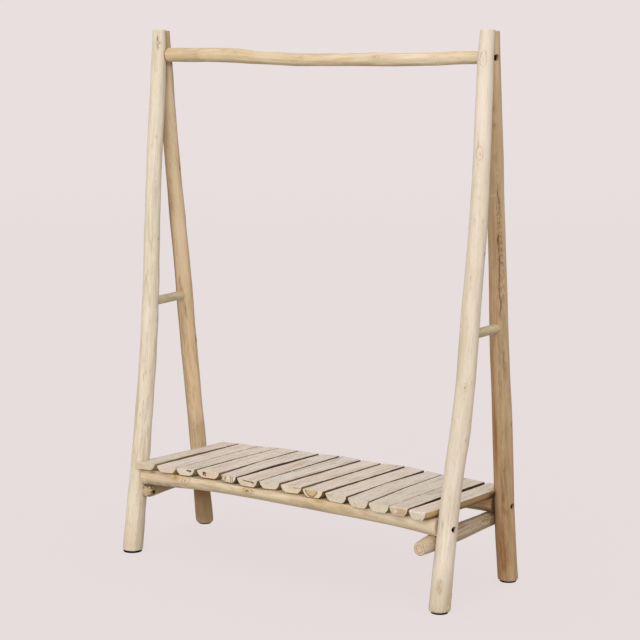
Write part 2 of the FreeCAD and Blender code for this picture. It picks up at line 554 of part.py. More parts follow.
for which in ("front", "rear"):
    for x, y in slat_screw_at[which]:
        groups["slat_screws"].append(screw(V(x, y, SLAT_SCREW["seat"]), V(0, 0, 1), SLAT_SCREW["r"],
                                           SLAT_SCREW["head_r"], SLAT_SCREW["head_h"],
                                           SLAT_SCREW["tip"] - SLAT_SCREW["seat"]))

for name, solids in groups.items():
    parts[name] = Part.makeCompound(solids)

# ---------------------------------------------------------------------------
# write each piece, with the floor at z = 0 and the middle of the rack's box at x = y = 0
# ---------------------------------------------------------------------------
os.makedirs("parts", exist_ok=True)
lo, hi = [1e9] * 3, [-1e9] * 3
for name, shape in parts.items():
    shape.translate(V(-BOX_CENTRE[0], -BOX_CENTRE[1], -FLOOR))
    if not shape.isValid():
        print("not valid:", name)
    b = shape.optimalBoundingBox()
    for k, (p, q) in enumerate(((b.XMin, b.XMax), (b.YMin, b.YMax), (b.ZMin, b.ZMax))):
        lo[k], hi[k] = min(lo[k], p), max(hi[k], q)
    shape.exportStep("parts/%s.step" % name)
print("%d pieces, box" % len(parts), [round(v, 2) for v in lo], [round(v, 2) for v in hi],
      "middle", [round(0.5 * (lo[k] + hi[k]), 2) for k in range(2)])
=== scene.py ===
import math
import bpy
import numpy as np
from mathutils import Matrix, Vector


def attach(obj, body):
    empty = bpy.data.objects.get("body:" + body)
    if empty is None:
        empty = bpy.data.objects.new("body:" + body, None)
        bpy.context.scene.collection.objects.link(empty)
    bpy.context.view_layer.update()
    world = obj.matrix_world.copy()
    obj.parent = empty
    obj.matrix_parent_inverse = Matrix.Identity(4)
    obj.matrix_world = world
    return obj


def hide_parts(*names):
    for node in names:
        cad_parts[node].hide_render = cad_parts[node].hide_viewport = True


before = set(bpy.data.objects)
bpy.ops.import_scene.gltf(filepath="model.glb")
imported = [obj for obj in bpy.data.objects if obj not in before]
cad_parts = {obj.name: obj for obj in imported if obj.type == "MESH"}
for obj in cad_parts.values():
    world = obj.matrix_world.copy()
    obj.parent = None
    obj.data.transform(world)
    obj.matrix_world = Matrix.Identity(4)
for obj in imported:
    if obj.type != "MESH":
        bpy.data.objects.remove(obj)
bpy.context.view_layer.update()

# ---------------------------------------------------------------------------
# Coat rack bench: the same lists as the solid model (millimetres), from which
# the poles and slats are modelled again with their natural shape.
# ---------------------------------------------------------------------------
FLOOR, HEIGHT = -7.5, 1500.0
TOPS = {"left_front_leg": 1502.4, "left_rear_leg": 1500.0, "right_front_leg": 1502.6, "right_rear_leg": 1499.2}
SEAT_TOP, SLAT_SEAT = 260.0, 237.0
BOX_CENTRE = np.array([0.63, 1.75, FLOOR])
BOW_DIR = (0.8124, 0.5831)
LEGS = {
    "left_front_leg": dict(foot=(-516.2, -191.1), top=(-553.9, -13.0), shape=[
        (0, -2.1, 29.5), (60, 0.3, 28.9), (120, 2.1, 28.4), (200, 5.0, 27.5),
        (300, 8.6, 26.5), (400, 11.3, 25.7), (500, 13.6, 25.5), (600, 15.2, 25.2),
        (700, 14.7, 24.4), (800, 12.6, 23.4), (900, 9.9, 22.9), (1000, 7.9, 23.0),
        (1100, 6.4, 22.9), (1200, 6.0, 22.7), (1300, 5.6, 22.4), (1400, 4.5, 21.9),
        (1460, 2.6, 20.2), (1500, 0.9, 18.4)]),
    "left_rear_leg": dict(foot=(-560.2, 190.2), top=(-553.9, 13.0), shape=[
        (0, 2.5, 26.7), (60, 1.6, 26.3), (120, 1.1, 25.6), (200, 1.2, 25.1),
        (300, 0.6, 24.8), (400, -1.0, 24.5), (500, -2.3, 24.5), (600, -3.4, 24.7),
        (700, -3.9, 24.5), (800, -3.9, 24.0), (900, -5.0, 23.7), (1000, -6.4, 23.2),
        (1100, -7.8, 22.6), (1200, -8.2, 22.1), (1300, -7.6, 21.7), (1400, -6.6, 21.3),
        (1500, -5.9, 20.5)]),
    "right_front_leg": dict(foot=(539.7, -183.5), top=(553.9, -13.0), shape=[
        (0, -2.9, 29.5), (60, -2.2, 29.0), (120, -1.4, 28.1), (200, 0.6, 26.5),
        (300, 3.4, 26.0), (400, 8.6, 26.5), (500, 14.8, 26.4), (600, 17.3, 25.9),
        (700, 16.3, 25.4), (800, 15.9, 24.9), (900, 16.4, 24.4), (1000, 16.2, 24.1),
        (1100, 13.7, 23.7), (1200, 10.3, 22.9), (1300, 5.7, 22.4), (1400, 1.9, 22.1),
        (1450, 0.6, 21.1), (1500, 0.4, 19.6)]),
    "right_rear_leg": dict(foot=(528.3, 181.5), top=(553.9, 13.0), shape=[
        (0, 1.2, 28.7), (60, -1.0, 28.3), (120, -2.6, 28.1), (200, -3.4, 27.6),
        (300, -2.9, 27.3), (400, -3.2, 27.5), (500, -3.6, 27.2), (600, -4.7, 26.2),
        (700, -5.2, 25.5), (800, -4.8, 24.6), (900, -4.5, 24.0), (1000, -4.5, 23.5),
        (1100, -4.2, 22.9), (1200, -3.2, 22.4), (1300, -3.2, 21.9), (1400, -3.3, 21.3),
        (1500, -2.5, 20.5)]),
}
SEAM_Y = -1.0
TOP_RAIL_Y = SEAM_Y
TOP_RAIL = [(-545, 1430.0, 20.0), (-486, 1430.3, 19.6), (-411, 1431.0, 20.3),
            (-338, 1431.0, 20.8), (-266, 1429.4, 20.3), (-194, 1424.2, 17.9),
            (-124, 1422.2, 17.6), (-55, 1420.3, 17.7), (13, 1420.6, 17.5),
            (80, 1421.7, 17.5), (146, 1422.5, 17.6), (199, 1423.6, 18.2),
            (276, 1423.3, 17.5), (339, 1425.2, 17.9), (401, 1426.9, 17.5),
            (469, 1430.0, 17.0), (540, 1431.2, 16.5)]
TOP_RAIL_BOLT_Z = {"left": 1430.0, "right": 1431.2}
TOP_BOLT_Y = 9.6
FRONT_RAIL = [(-505, 215.2, 24.4), (-435, 215.9, 22.9), (-360, 219.9, 22.1),
              (-285, 224.4, 22.2), (-140, 226.9, 22.6), (0, 226.3, 22.9),
              (136, 224.7, 23.8), (300, 222.5, 23.9), (430, 218.5, 24.5), (530, 212.6, 26.0)]
REAR_RAIL = [(-545, 214.0, 24.0), (-400, 216.0, 23.4), (-200, 219.0, 23.0),
             (0, 219.5, 23.2), (200, 217.5, 24.2), (388, 213.4, 25.2), (515, 213.0, 25.4)]
SEAT_RAIL_Z = {"left_front_leg": 215.2, "right_front_leg": 215.4,
               "left_rear_leg": 214.0, "right_rear_leg": 213.0}
RAIL_HOUSING = 3.0
LEFT_BEARER = [(-178, 173.6, 18.4), (-120, 173.9, 19.2), (0, 174.4, 19.4),
               (120, 174.0, 19.3), (202, 173.5, 18.6)]
RIGHT_BEARER = [(-226, 166.0, 18.8), (-150, 168.6, 23.0), (-30, 168.4, 22.9),
                (84, 169.4, 21.8), (158, 169.8, 20.6), (204, 169.6, 19.6)]
BEARERS = {"left_bearer": LEFT_BEARER, "right_bearer": RIGHT_BEARER}
BEARER_LAP, BEARER_LAP_IN_LEG = 5.0, 2.0
RAIL_REST = {("left_bearer", "front_seat_rail"): 191.8, ("left_bearer", "rear_seat_rail"): 191.6,
             ("right_bearer", "front_seat_rail"): 190.0, ("right_bearer", "rear_seat_rail"): 188.9}
RUNG_R, RUNG_TENON = 13.0, 16.0
RUNG_Z = {"left": (718.0, 716.0), "right": (716.5, 712.5)}
SLATS = [
    ((-502.0, -487.0, -479.0), (-438.0, -435.0, -424.5), (-195.4, -184.0), (180.0, 192.0)),
    ((-422.0, -417.0, -417.5), (-360.0, -356.3, -354.0), (-194.0, -183.0), (196.0, 194.5)),
    ((-357.0, -354.3, -350.5), (-302.0, -297.2, -287.7), (-184.0, -172.0), (195.0, 212.0)),
    ((-292.0, -292.0, -284.3), (-218.0, -221.0, -218.7), (-170.5, -164.0), (214.0, 217.5)),
    ((-200.0, -215.5, -211.2), (-148.0, -154.0, -142.3), (-175.0, -176.0), (217.5, 216.5)),
    ((-138.5, -135.5, -132.8), (-69.0, -72.0, -77.0), (-181.0, -180.5), (217.5, 229.0)),
    ((-65.5, -66.5, -66.5), (-5.0, 1.0, 5.0), (-175.0, -162.0), (229.5, 222.0)),
    ((9.5, 13.0, 17.0), (73.0, 77.5, 78.5), (-174.5, -165.0), (219.0, 218.5)),
    ((89.0, 86.5, 87.5), (150.5, 154.5, 155.0), (-180.0, -176.0), (220.0, 227.5)),
    ((165.5, 164.5, 166.0), (236.0, 230.5, 230.5), (-181.0, -184.0), (228.5, 213.0)),
    ((247.0, 235.0, 245.5), (315.5, 302.5, 299.5), (-191.0, -197.0), (211.0, 199.0)),
    ((324.0, 308.0, 303.0), (385.8, 383.4, 379.2), (-206.0, -202.5), (197.5, 200.0)),
    ((386.7, 384.4, 380.2), (444.5, 441.5, 446.0), (-202.0, -201.5), (200.0, 188.5)),
    ((453.0, 458.5, 460.5), (508.0, 520.0, 514.0), (-208.5, -214.0), (187.5, 189.0)),
]
SLAT_SIDE, SLAT_FOOT, LEG_CLEAR = 0.90, 0.46, 1.5
SQUARE_SIDE, SQUARE_FOOT = 0.985, 0.93
BOLT_HOLE_R, CBORE_R, WASHER_T = 4.2, 8.4, 1.6
INSERT_R, INSERT_L = 6.0, 18.0
SEAT_BOLT_L, TOP_BOLT_L = 55.0, 45.0
LEG_CBORE_DEPTH, TOP_CBORE_X = 17.0, 549.0
SEAT_BOLT_SHIFT = {"right_front_leg": -7.5, "right_rear_leg": -2.0}
SLAT_SCREW_SHIFT = {(0, "front"): 7.5, (13, "rear"): -8.0}
BEARER_SCREW = dict(r=2.5, recess_r=6.0, recess=8.0)
BEARER_SCREW_SHIFT = {"left_front_leg": (6.0, -3.0)}
APEX_Z = 1474.0
PADS = {"left_front_leg": (27.0, 6.0), "left_rear_leg": (19.0, 3.2),
        "right_front_leg": (23.0, 5.2), "right_rear_leg": (23.0, 4.6)}
SIDE = {"left": -1.0, "right": 1.0}


# ---------------------------------------------------------------------------
# curves and joints of the solid model
# ---------------------------------------------------------------------------
def lerp_list(rows, t):
    n = len(rows)
    if t <= rows[0][0]:
        return rows[0][1:]
    if t >= rows[-1][0]:
        return rows[-1][1:]
    i = min(max(k for k in range(n) if rows[k][0] <= t), n - 2)
    t0, t1 = rows[i][0], rows[i + 1][0]
    h = t1 - t0
    u = (t - t0) / h
    out = []
    for c in range(1, len(rows[0])):
        p0, p1 = rows[i][c], rows[i + 1][c]
        m0 = (rows[i + 1][c] - rows[i - 1][c]) / (rows[i + 1][0] - rows[i - 1][0]) if i > 0 else (p1 - p0) / h
        m1 = (rows[i + 2][c] - rows[i][c]) / (rows[i + 2][0] - rows[i][0]) if i < n - 2 else (p1 - p0) / h
        out.append((2 * u**3 - 3 * u**2 + 1) * p0 + (u**3 - 2 * u**2 + u) * h * m0
                   + (-2 * u**3 + 3 * u**2) * p1 + (u**3 - u**2) * h * m1)
    return tuple(out)


def leg_at(name, z):
    leg = LEGS[name]
    bow, r = lerp_list(leg["shape"], z)
    f = z / HEIGHT
    x = leg["foot"][0] + (leg["top"][0] - leg["foot"][0]) * f + bow * BOW_DIR[0]
    y = leg["foot"][1] + (leg["top"][1] - leg["foot"][1]) * f + bow * BOW_DIR[1]
    return x, y, r


def side_of(name):
    return name.split("_")[0]


rail_seat_x, top_seat_x = {}, {}
for leg in LEGS:
    s = SIDE[side_of(leg)]
    x, y, r = leg_at(leg, SEAT_RAIL_Z[leg])
    rail_seat_x[leg] = x - s * (r - RAIL_HOUSING)
    x, y, r = leg_at(leg, TOP_RAIL_BOLT_Z[side_of(leg)])
    top_seat_x[leg] = x - s * (r - 2.5)

lap_x, bearer_end = {}, {}
for name, rows in BEARERS.items():
    s = SIDE[side_of(name)]
    pts = []
    for leg in (side_of(name) + "_front_leg", side_of(name) + "_rear_leg"):
        zb = lerp_list(rows, leg_at(leg, 170.0)[1])[0]
        x, y, r = leg_at(leg, zb)
        rb = lerp_list(rows, y)[1]
        lap_x[leg] = x - s * (r - BEARER_LAP_IN_LEG)
        pts.append((y, x - s * (r + rb - BEARER_LAP), zb))
    bearer_end[name] = pts


def bearer_x(name, y):
    (y0, x0, _), (y1, x1, _) = bearer_end[name]
    return x0 + (x1 - x0) * (y - y0) / (y1 - y0)


def rail_y(which, x):
    a, b = "left_%s_leg" % which, "right_%s_leg" % which
    xa, ya, _ = leg_at(a, SEAT_RAIL_Z[a])
    xb, yb, _ = leg_at(b, SEAT_RAIL_Z[b])
    return ya + (yb - ya) * (x - xa) / (xb - xa)


def rung_ends(side):
    zf, zr = RUNG_Z[side]
    xf, yf, rf = leg_at(side + "_front_leg", zf)
    xr, yr, rr = leg_at(side + "_rear_leg", zr)
    a, b = np.array([xf, yf, zf]), np.array([xr, yr, zr])
    d = (b - a) / np.linalg.norm(b - a)
    return a + d * (rf - RUNG_TENON), b - d * (rr - RUNG_TENON)


def slat_mid(i, y):
    (l0, l1, l2), (r0, r1, r2), fy, ry = SLATS[i]
    t = (y - sum(fy) / 2) / (sum(ry) / 2 - sum(fy) / 2)
    left = l0 + (l1 - l0) * 2 * t if t < 0.5 else l1 + (l2 - l1) * (2 * t - 1)
    right = r0 + (r1 - r0) * 2 * t if t < 0.5 else r1 + (r2 - r1) * (2 * t - 1)
    return 0.5 * (left + right)


# ---------------------------------------------------------------------------
# small numeric helpers
# ---------------------------------------------------------------------------
def vnoise(p, seed=0):
    """Smooth value noise in -1..1 at points p (..., 3)."""
    p = np.asarray(p, float)
    i = np.floor(p).astype(np.int64)
    f = p - i
    u = f * f * (3 - 2 * f)

    def h(a, b, c):
        n = (a * 374761393 + b * 668265263 + c * 1103515245 + seed * 974634777) & 0xFFFFFFFF
        n = ((n ^ (n >> 13)) * 1274126177) & 0xFFFFFFFF
        n = (n ^ (n >> 16)) & 0xFFFFFFFF
        return n / 2147483648.0 - 1.0

    x, y, z = i[..., 0], i[..., 1], i[..., 2]
    ux, uy, uz = u[..., 0], u[..., 1], u[..., 2]

    def lx(b, c):
        return h(x, b, c) * (1 - ux) + h(x + 1, b, c) * ux

    def ly(c):
        return lx(y, c) * (1 - uy) + lx(y + 1, c) * uy

    return ly(z) * (1 - uz) + ly(z + 1) * uz


def fbm(p, seed=0, octaves=3):
    total, amp = 0.0, 1.0
    p = np.asarray(p, float)
    for k in range(octaves):
        total = total + amp * vnoise(p * 2.0**k, seed + 17 * k)
        amp *= 0.5
    return total


def wrap(a):
    return (a + np.pi) % (2 * np.pi) - np.pi


def step(a, b, x):
    """Smooth step from 0 at a to 1 at b."""
    u = np.clip((x - a) / (b - a), 0, 1)
    return u * u * (3 - 2 * u)


def mesh_object(name, verts_mm, faces):
    """A mesh object from points in millimetres of the lists above and faces of 3 or 4 corners."""
    co = (np.asarray(verts_mm, float) - BOX_CENTRE) * 0.001
    me = bpy.data.meshes.new(name)
    sizes = np.array([len(f) for f in faces], np.int32)
    loops = np.concatenate([np.asarray(f, np.int32) for f in faces]) if len(set(sizes)) > 1 else np.asarray(
        faces, np.int32).ravel()
    me.vertices.add(len(co))
    me.vertices.foreach_set("co", co.astype(np.float32).ravel())
    me.loops.add(len(loops))
    me.loops.foreach_set("vertex_index", loops.astype(np.int32))
    me.polygons.add(len(sizes))
    me.polygons.foreach_set("loop_start", (np.cumsum(sizes) - sizes).astype(np.int32))
    me.update(calc_edges=True)
    me.validate()
    ob = bpy.data.objects.new(name, me)
    bpy.context.scene.collection.objects.link(ob)
    return ob


def grid_faces(nt, na, offset=0):
    """Quads of a tube grid of nt rings with na points each."""
    k, j = np.meshgrid(np.arange(nt - 1), np.arange(na), indexing="ij")
    j2 = (j + 1) % na
    a = offset + k * na + j
    b = offset + k * na + j2
    c = offset + (k + 1) * na + j2
    d = offset + (k + 1) * na + j
    return np.stack([a, b, c, d], -1).reshape(-1, 4)


def closed_tube(rings):
    """Points and faces of a closed body from a list of rings (na, 3); the first and last rings
    shrink to a point."""
    na = len(rings[0])
    verts = np.concatenate(rings)
    faces = [tuple(f) for f in grid_faces(len(rings), na)]
    first = verts[:na].mean(0)
    last = verts[-na:].mean(0)
    n = len(verts)
    verts = np.concatenate([verts, first[None], last[None]])
    base = (len(rings) - 1) * na
    for j in range(na):
        j2 = (j + 1) % na
        faces.append((j2, j, n))
        faces.append((base + j, base + j2, n + 1))
    v = verts
    vol = 0.0
    f4 = np.array([f for f in faces if len(f) == 4])
    for tri in (f4[:, [0, 1, 2]], f4[:, [0, 2, 3]]):
        a, b, c = v[tri[:, 0]], v[tri[:, 1]], v[tri[:, 2]]
        vol += np.einsum("ij,ij->i", a, np.cross(b, c)).sum()
    if vol < 0:
        faces = [tuple(reversed(f)) for f in faces]
    return verts, faces


def cylinder(r, a, b, n=40):
    """Cutter: a cylinder from point a to point b."""
    a, b = np.asarray(a, float), np.asarray(b, float)
    d = (b - a) / np.linalg.norm(b - a)
    e1 = np.cross(d, [0, 0, 1.0] if abs(d[2]) < 0.9 else [0, 1.0, 0])
    e1 /= np.linalg.norm(e1)
    e2 = np.cross(d, e1)
    t = np.arange(n) * 2 * np.pi / n
    ring = np.cos(t)[:, None] * e1 + np.sin(t)[:, None] * e2
    return mesh_object("cutter", *closed_tube([a + r * ring, b + r * ring]))


def block(x0, x1, y0, y1, z0, z1):
    """Cutter: a box."""
    x0, x1 = min(x0, x1), max(x0, x1)
    v = [(x, y, z) for z in (z0, z1) for x, y in ((x0, y0), (x1, y0), (x1, y1), (x0, y1))]
    f = [(3, 2, 1, 0), (4, 5, 6, 7), (0, 1, 5, 4), (1, 2, 6, 5), (2, 3, 7, 6), (3, 0, 4, 7)]
    return mesh_object("cutter", v, f)


def cut(ob, cutters):
    """Cuts the cutters out of ob and removes them."""
    for c in cutters:
        m = ob.modifiers.new("cut", "BOOLEAN")
        m.operation, m.solver, m.object = "DIFFERENCE", "MANIFOLD", c
    dg = bpy.context.evaluated_depsgraph_get()
    new = bpy.data.meshes.new_from_object(ob.evaluated_get(dg))
    ob.modifiers.clear()
    old = ob.data
    new.name = old.name
    ob.data = new
    bpy.data.meshes.remove(old)
    for c in cutters:
        me = c.data
        bpy.data.objects.remove(c)
        bpy.data.meshes.remove(me)


def coords(me):
    co = np.empty(len(me.vertices) * 3, np.float32)
    me.vertices.foreach_get("co", co)
    return co.reshape(-1, 3).astype(float) * 1000 + BOX_CENTRE


def normals(me):
    n = np.empty(len(me.vertices) * 3, np.float32)
    me.vertex_normals.foreach_get("vector", n)
    return n.reshape(-1, 3).astype(float)


def write_vector(me, name, values):
    at = me.attributes.new(name, "FLOAT_VECTOR", "POINT")
    at.data.foreach_set("vector", np.ascontiguousarray(values, np.float32).ravel())


def finish_mesh(ob, angle=32.0):
    ob.data.shade_smooth()
    ob.data.set_sharp_from_angle(angle=math.radians(angle))


# ---------------------------------------------------------------------------
# natural poles
# ---------------------------------------------------------------------------
class Pole:
    """A pole with its middle line and radius along t, and its marks: knots, crack lines and planed facets.
    knots: (t, angle, length, width, height, strength, pit); crack lines: (points (t, angle), width, depth, darkness),
    those of no depth being painted shade where parts meet;
    tone and light marks: (t, angle, length, width, amount), the tone marks darker wood and partly painted shade, the
    light marks paler wood and partly painted highlight; rough: (t, angle, length, width, height)."""

    def __init__(self, name, lo, hi, at, e1, e2, axis, seed, lumps=0.45, facets=10, knots=(), cracks_and_shade_lines=(), tones_and_shade=(),
                 light=(), rough=(), hidden=6, away=None, ring=0.55, trim=None):
        self.name, self.lo, self.hi, self.seed, self.ring = name, lo, hi, seed, ring
        self.T = np.linspace(lo, hi, max(200, int(hi - lo)))
        rows = [at(t) for t in self.T]
        self.C = np.array([r[0] for r in rows], float)
        self.R = np.array([r[1] for r in rows], float)
        self.e1, self.e2 = np.array(e1, float), np.array(e2, float)
        self.axis = np.array(axis, float)
        rng = np.random.RandomState(seed)
        self.harm = [(m, rng.uniform(-1, 1) * 2 * np.pi / rng.uniform(70, 420), rng.uniform(0, 2 * np.pi),
                      lumps * rng.uniform(0.25, 0.6)) for m in (0, 1, 2, 2, 3, 3, 4, 5)]
        self.facets = [(rng.uniform(lo, hi), rng.uniform(-np.pi, np.pi), rng.uniform(60, 210), rng.uniform(0.5, 1.5))
                       for _ in range(facets)]
        self.knots = [(t, math.radians(a), ln, wd, h, st, pit) for t, a, ln, wd, h, st, pit in knots]
        if away is not None:      # small knots on the sides that face away from the listed marks
            for _ in range(hidden):
                self.knots.append((rng.uniform(lo + 60, hi - 60), math.radians(away + rng.uniform(-80, 80)),
                                   rng.uniform(6, 13), rng.uniform(4, 8), rng.uniform(0.4, 1.6),
                                   rng.uniform(0.35, 0.9), rng.uniform(0, 0.8)))
        self.cracks_and_shade_lines = []
        for pts, w, depth, dark in cracks_and_shade_lines:
            pts = sorted(pts)
            self.cracks_and_shade_lines.append((np.array([p[0] for p in pts], float), np.radians([p[1] for p in pts]), w, depth, dark))
        self.tones_and_shade = [(t, math.radians(a), ln, wd, am) for t, a, ln, wd, am in tones_and_shade]
        self.light = [(t, math.radians(a), ln, wd, am) for t, a, ln, wd, am in light]
        self.rough = [(t, math.radians(a), ln, wd, am) for t, a, ln, wd, am in rough]
        self.bores = []
        self.trim = trim

    def centre(self, t):
        return np.stack([np.interp(t, self.T, self.C[:, k]) for k in range(3)], -1)

    def radius(self, t):
        return np.interp(t, self.T, self.R)

    def place(self, P):
        """t, angle and distance from the middle of points P."""
        t = P @ self.axis if abs(abs(self.axis).max() - 1) < 1e-9 else (P - self.C[0]) @ self.axis + self.lo
        d = P - self.centre(t)
        u, w = d @ self.e1, d @ self.e2
        return t, np.arctan2(w, u), np.hypot(u, w)

    def surface(self, t, th):
        """Radius of the pole's surface, and of the growth layer that it would have if left whole."""
        r = self.radius(t)
        nat = r.copy()
        for m, k, ph, a in self.harm:
            nat = nat + a * np.cos(m * th + k * t + ph)
        rho = nat.copy()
        for tf, af, ln, d in self.facets:
            w = np.clip(1 - ((t - tf) / ln)**2, 0, 1)
            da = wrap(th - af)
            lim = np.where(np.abs(da) < 1.0, (r - d * w + 0.6 * (1 - w)) / np.cos(np.clip(da, -1.0, 1.0)), 1e3)
            k = 5.0
            low = np.minimum(rho, lim)
            rho = np.where(w > 0, low - np.log(np.exp(-k * np.clip(rho - low, 0, 8)) + np.exp(
                -k * np.clip(lim - low, 0, 8))) / k, rho)
        for tk, ak, ln, wd, h, st, pit in self.knots:
            d2 = ((t - tk) / ln)**2 + (wrap(th - ak) * r / wd)**2
            b = np.exp(-np.clip(d2 * 0.6, 0, 40))
            nat = nat + 1.5 * h * b
            rho = rho + h * b - 0.5 * h * np.exp(-np.clip(d2 * 2.5, 0, 40)) - pit * np.exp(-np.clip(d2 * 9, 0, 40))
        for ts, ths, w, depth, dark in self.cracks_and_shade_lines:
            g, _ = self.dark_line_at(t, th, r, ts, ths, w)
            rho = rho - depth * g
        for tk, ak, ln, wd, am in self.rough:
            z = np.exp(-((t - tk) / ln)**4 - (wrap(th - ak) * r / wd)**4)
            q = np.stack([r * np.cos(th) / 3.6, r * np.sin(th) / 3.6, t / 6.5], -1)
            rho = rho + am * z * (fbm(q, self.seed + 12, 2) - 0.2)
        if self.trim is not None:
            rho = rho - self.trim(t, th)
        return rho, nat

    def dark_line_at(self, t, th, r, ts, ths, w):
        wob = 1.5 * vnoise(np.stack([t / 13.0, t * 0, t * 0], -1), self.seed + 5) + 0.8 * vnoise(
            np.stack([t / 5.0, t * 0 + 7, t * 0], -1), self.seed + 6)
        mid = np.interp(t, ts, ths) + wob / r
        run = min(12.0, 0.35 * (ts[-1] - ts[0]))
        along = step(ts[0] - run / 2, ts[0] + run, t) * (1 - step(ts[-1] - run, ts[-1] + run / 2, t))
        vary = 0.55 + 0.45 * vnoise(np.stack([t / 17.0, t * 0, t * 0 + 3], -1), self.seed + 8)
        x = wrap(th - mid) * r
        return along * np.exp(-(x / (w * vary + 0.3))**2), along * np.exp(-(x / (2.6 * w))**2)

    def build(self, spacing=3.4, na=84, end_lo=(1.2, 1.2), end_hi=(1.2, 1.2), cap=0.25):
        """Mesh object of the whole pole; end_lo and end_hi are the rounding of the ends (along, inwards)."""
        th = np.arange(na) * 2 * np.pi / na
        for ts, ths, w, depth, dark in self.cracks_and_shade_lines:      # finer columns where a crack runs
            if depth > 0.6:
                mid, r = ths.mean(), self.radius(ts.mean())
                half = max(np.ptp(ths) / 2 + 3.0 / r, 5.0 / r)
                th = np.concatenate([th, mid + np.linspace(-half, half, int(2 * half * r / 0.8))])
        th = np.unique(np.round(np.mod(th, 2 * np.pi), 5))
        th = th[np.concatenate([[True], np.diff(th) > 0.012])]
        na = len(th)
        n = max(8, int((self.hi - self.lo) / spacing))
        t = list(np.linspace(self.lo + end_lo[0], self.hi - end_hi[0], n))
        phi = np.linspace(0, np.pi / 2, 5)[1:]
        lows = [(self.lo + end_lo[0] * (1 - math.sin(p)), end_lo[1] * (1 - math.cos(p))) for p in phi]
        highs = [(self.hi - end_hi[0] * (1 - math.sin(p)), end_hi[1] * (1 - math.cos(p))) for p in phi]
        rows = [(a, b) for a, b in reversed(lows)] + [(a, 0.0) for a in t] + highs
        tt = np.array([a for a, _ in rows])
        inset = np.array([b for _, b in rows])
        TT, AA = np.meshgrid(tt, th, indexing="ij")
        rho, _ = self.surface(TT, AA)
        rho = rho - inset[:, None]
        C = self.centre(tt)
        dirs = np.cos(th)[:, None] * self.e1 + np.sin(th)[:, None] * self.e2
        if len(C) and abs(abs(self.axis).max() - 1) > 1e-9:
            C = self.C[0] + (tt - self.lo)[:, None] * self.axis
        P = C[:, None, :] + rho[..., None] * dirs[None]
        rings = [P[k] for k in range(len(tt))]

        def caps(ring, c, sign, seed):
            out = []
            for f in (0.93, 0.84, 0.73, 0.61, 0.48, 0.35, 0.22, 0.1):
                q = c + (ring - c) * f
                out.append(q + sign * self.axis * (cap * fbm(q / 5.0, seed, 2))[:, None])
            return out

        first = caps(rings[0], C[0], -1, self.seed + 31)
        last = caps(rings[-1], C[-1], 1, self.seed + 32)
        rings = first[::-1] + rings + last
        return mesh_object(self.name, *closed_tube(rings))

    def mark(self, ob):
        """Writes the wood coordinates and marks that the finish reads."""
        me = ob.data
        P, N = coords(me), normals(me)
        t, th, rho = self.place(P)
        r = self.radius(t)
        skin = step(0.72, 0.88, rho / r)
        _, nat = self.surface(t, th)
        kd, ks = np.full(len(t), 3.0), np.zeros(len(t))
        bend = np.zeros(len(t))
        wob = fbm(P / 5.0, self.seed + 21, 2)
        core = np.zeros(len(t))
        for tk, ak, ln, wd, h, st, pit in self.knots:
            da = wrap(th - ak) * r
            dt = t - tk
            d = np.sqrt((dt / np.where(dt > 0, ln * 1.35, ln))**2 + (da / wd)**2) + 0.16 * wob
            near = d < kd
            kd = np.where(near, d, kd)
            ks = np.where(near, st, ks)
            core = np.where(near, min(1.0, pit / 0.4) * st, core)
            bend = bend - 0.55 * da * np.exp(-np.clip(d**2 * 0.5, 0, 40))
        dark = np.zeros(len(t))
        # dark lines: cracks, and painted shade lines where parts meet
        for ts, ths, w, depth, dk in self.cracks_and_shade_lines:
            g, halo = self.dark_line_at(t, th, r, ts, ths, w)
            dark = np.maximum(dark, dk * skin * (g + 0.28 * halo))
        tone, light, rough = np.zeros(len(t)), np.zeros(len(t)), np.zeros(len(t))
        # tone marks: darker wood, and painted shade where the lists place them
        for tk, ak, ln, wd, am in self.tones_and_shade:
            tone = tone + am * np.exp(-((t - tk) / ln)**2 - (wrap(th - ak) * r / wd)**2)
        for tk, ak, ln, wd, am in self.light:
            light = light + am * np.exp(-((t - tk) / ln)**2 - (wrap(th - ak) * r / wd)**2)
        for tk, ak, ln, wd, am in self.rough:
            rough = np.maximum(rough, min(1.0, am / 0.5) * np.exp(-((t - tk) / ln)**4 - (wrap(th - ak) * r / wd)**4))
        bore = np.zeros(len(t))      # depth below the surface, on the walls of the bores
        for a, b, rb, length in self.bores:
            a, b = np.asarray(a, float), np.asarray(b, float)
            ax = (b - a) / np.linalg.norm(b - a)
            q = P - a
            along = q @ ax
            d = np.linalg.norm(q - along[:, None] * ax, axis=1)
            inside = (along > -2) & (along < np.linalg.norm(b - a) + 2)
            wall = inside & (d < rb + 0.25)
            bore = np.where(wall, np.maximum(bore, length - along), bore)
            # painted shade: the bore walls and the surface round each bore are darkened
            dark = np.maximum(dark, np.where(wall, 0.14, np.where(inside, 0.16 * np.exp(-np.clip(d - rb, 0, 40)), 0)))
        endg = step(0.62, 0.9, np.abs(N @ self.axis))
        th2 = th + bend / r
        wood = np.stack([rho * np.cos(th2), rho * np.sin(th2), t], -1) * 0.001
        fig = (1 - endg) * (rho - nat) / self.ring + endg * (rho / 2.7 + 0.35 * fbm(P / 9.0, self.seed + 3, 2))
        write_vector(me, "wood", wood)
        write_vector(me, "mark", np.stack([kd, ks * skin, np.clip(dark, 0, 1)], -1))
        write_vector(me, "grain", np.stack([fig, endg, tone], -1))
        write_vector(me, "more", np.stack([core * skin, light, rough * skin], -1))
        if self.bores:
            write_vector(me, "bore", np.stack([bore * 0.1, 0 * bore, 0 * bore], -1))


# ---------------------------------------------------------------------------
# finishes
# ---------------------------------------------------------------------------
def lin(c, k=1.0):
    """Linear colour from 0..255 values."""
    out = []
    for v in c:
        v = v / 255.0
        out.append(k * (v / 12.92 if v <= 0.04045 else ((v + 0.055) / 1.055)**2.4))
    return (*out, 1.0)


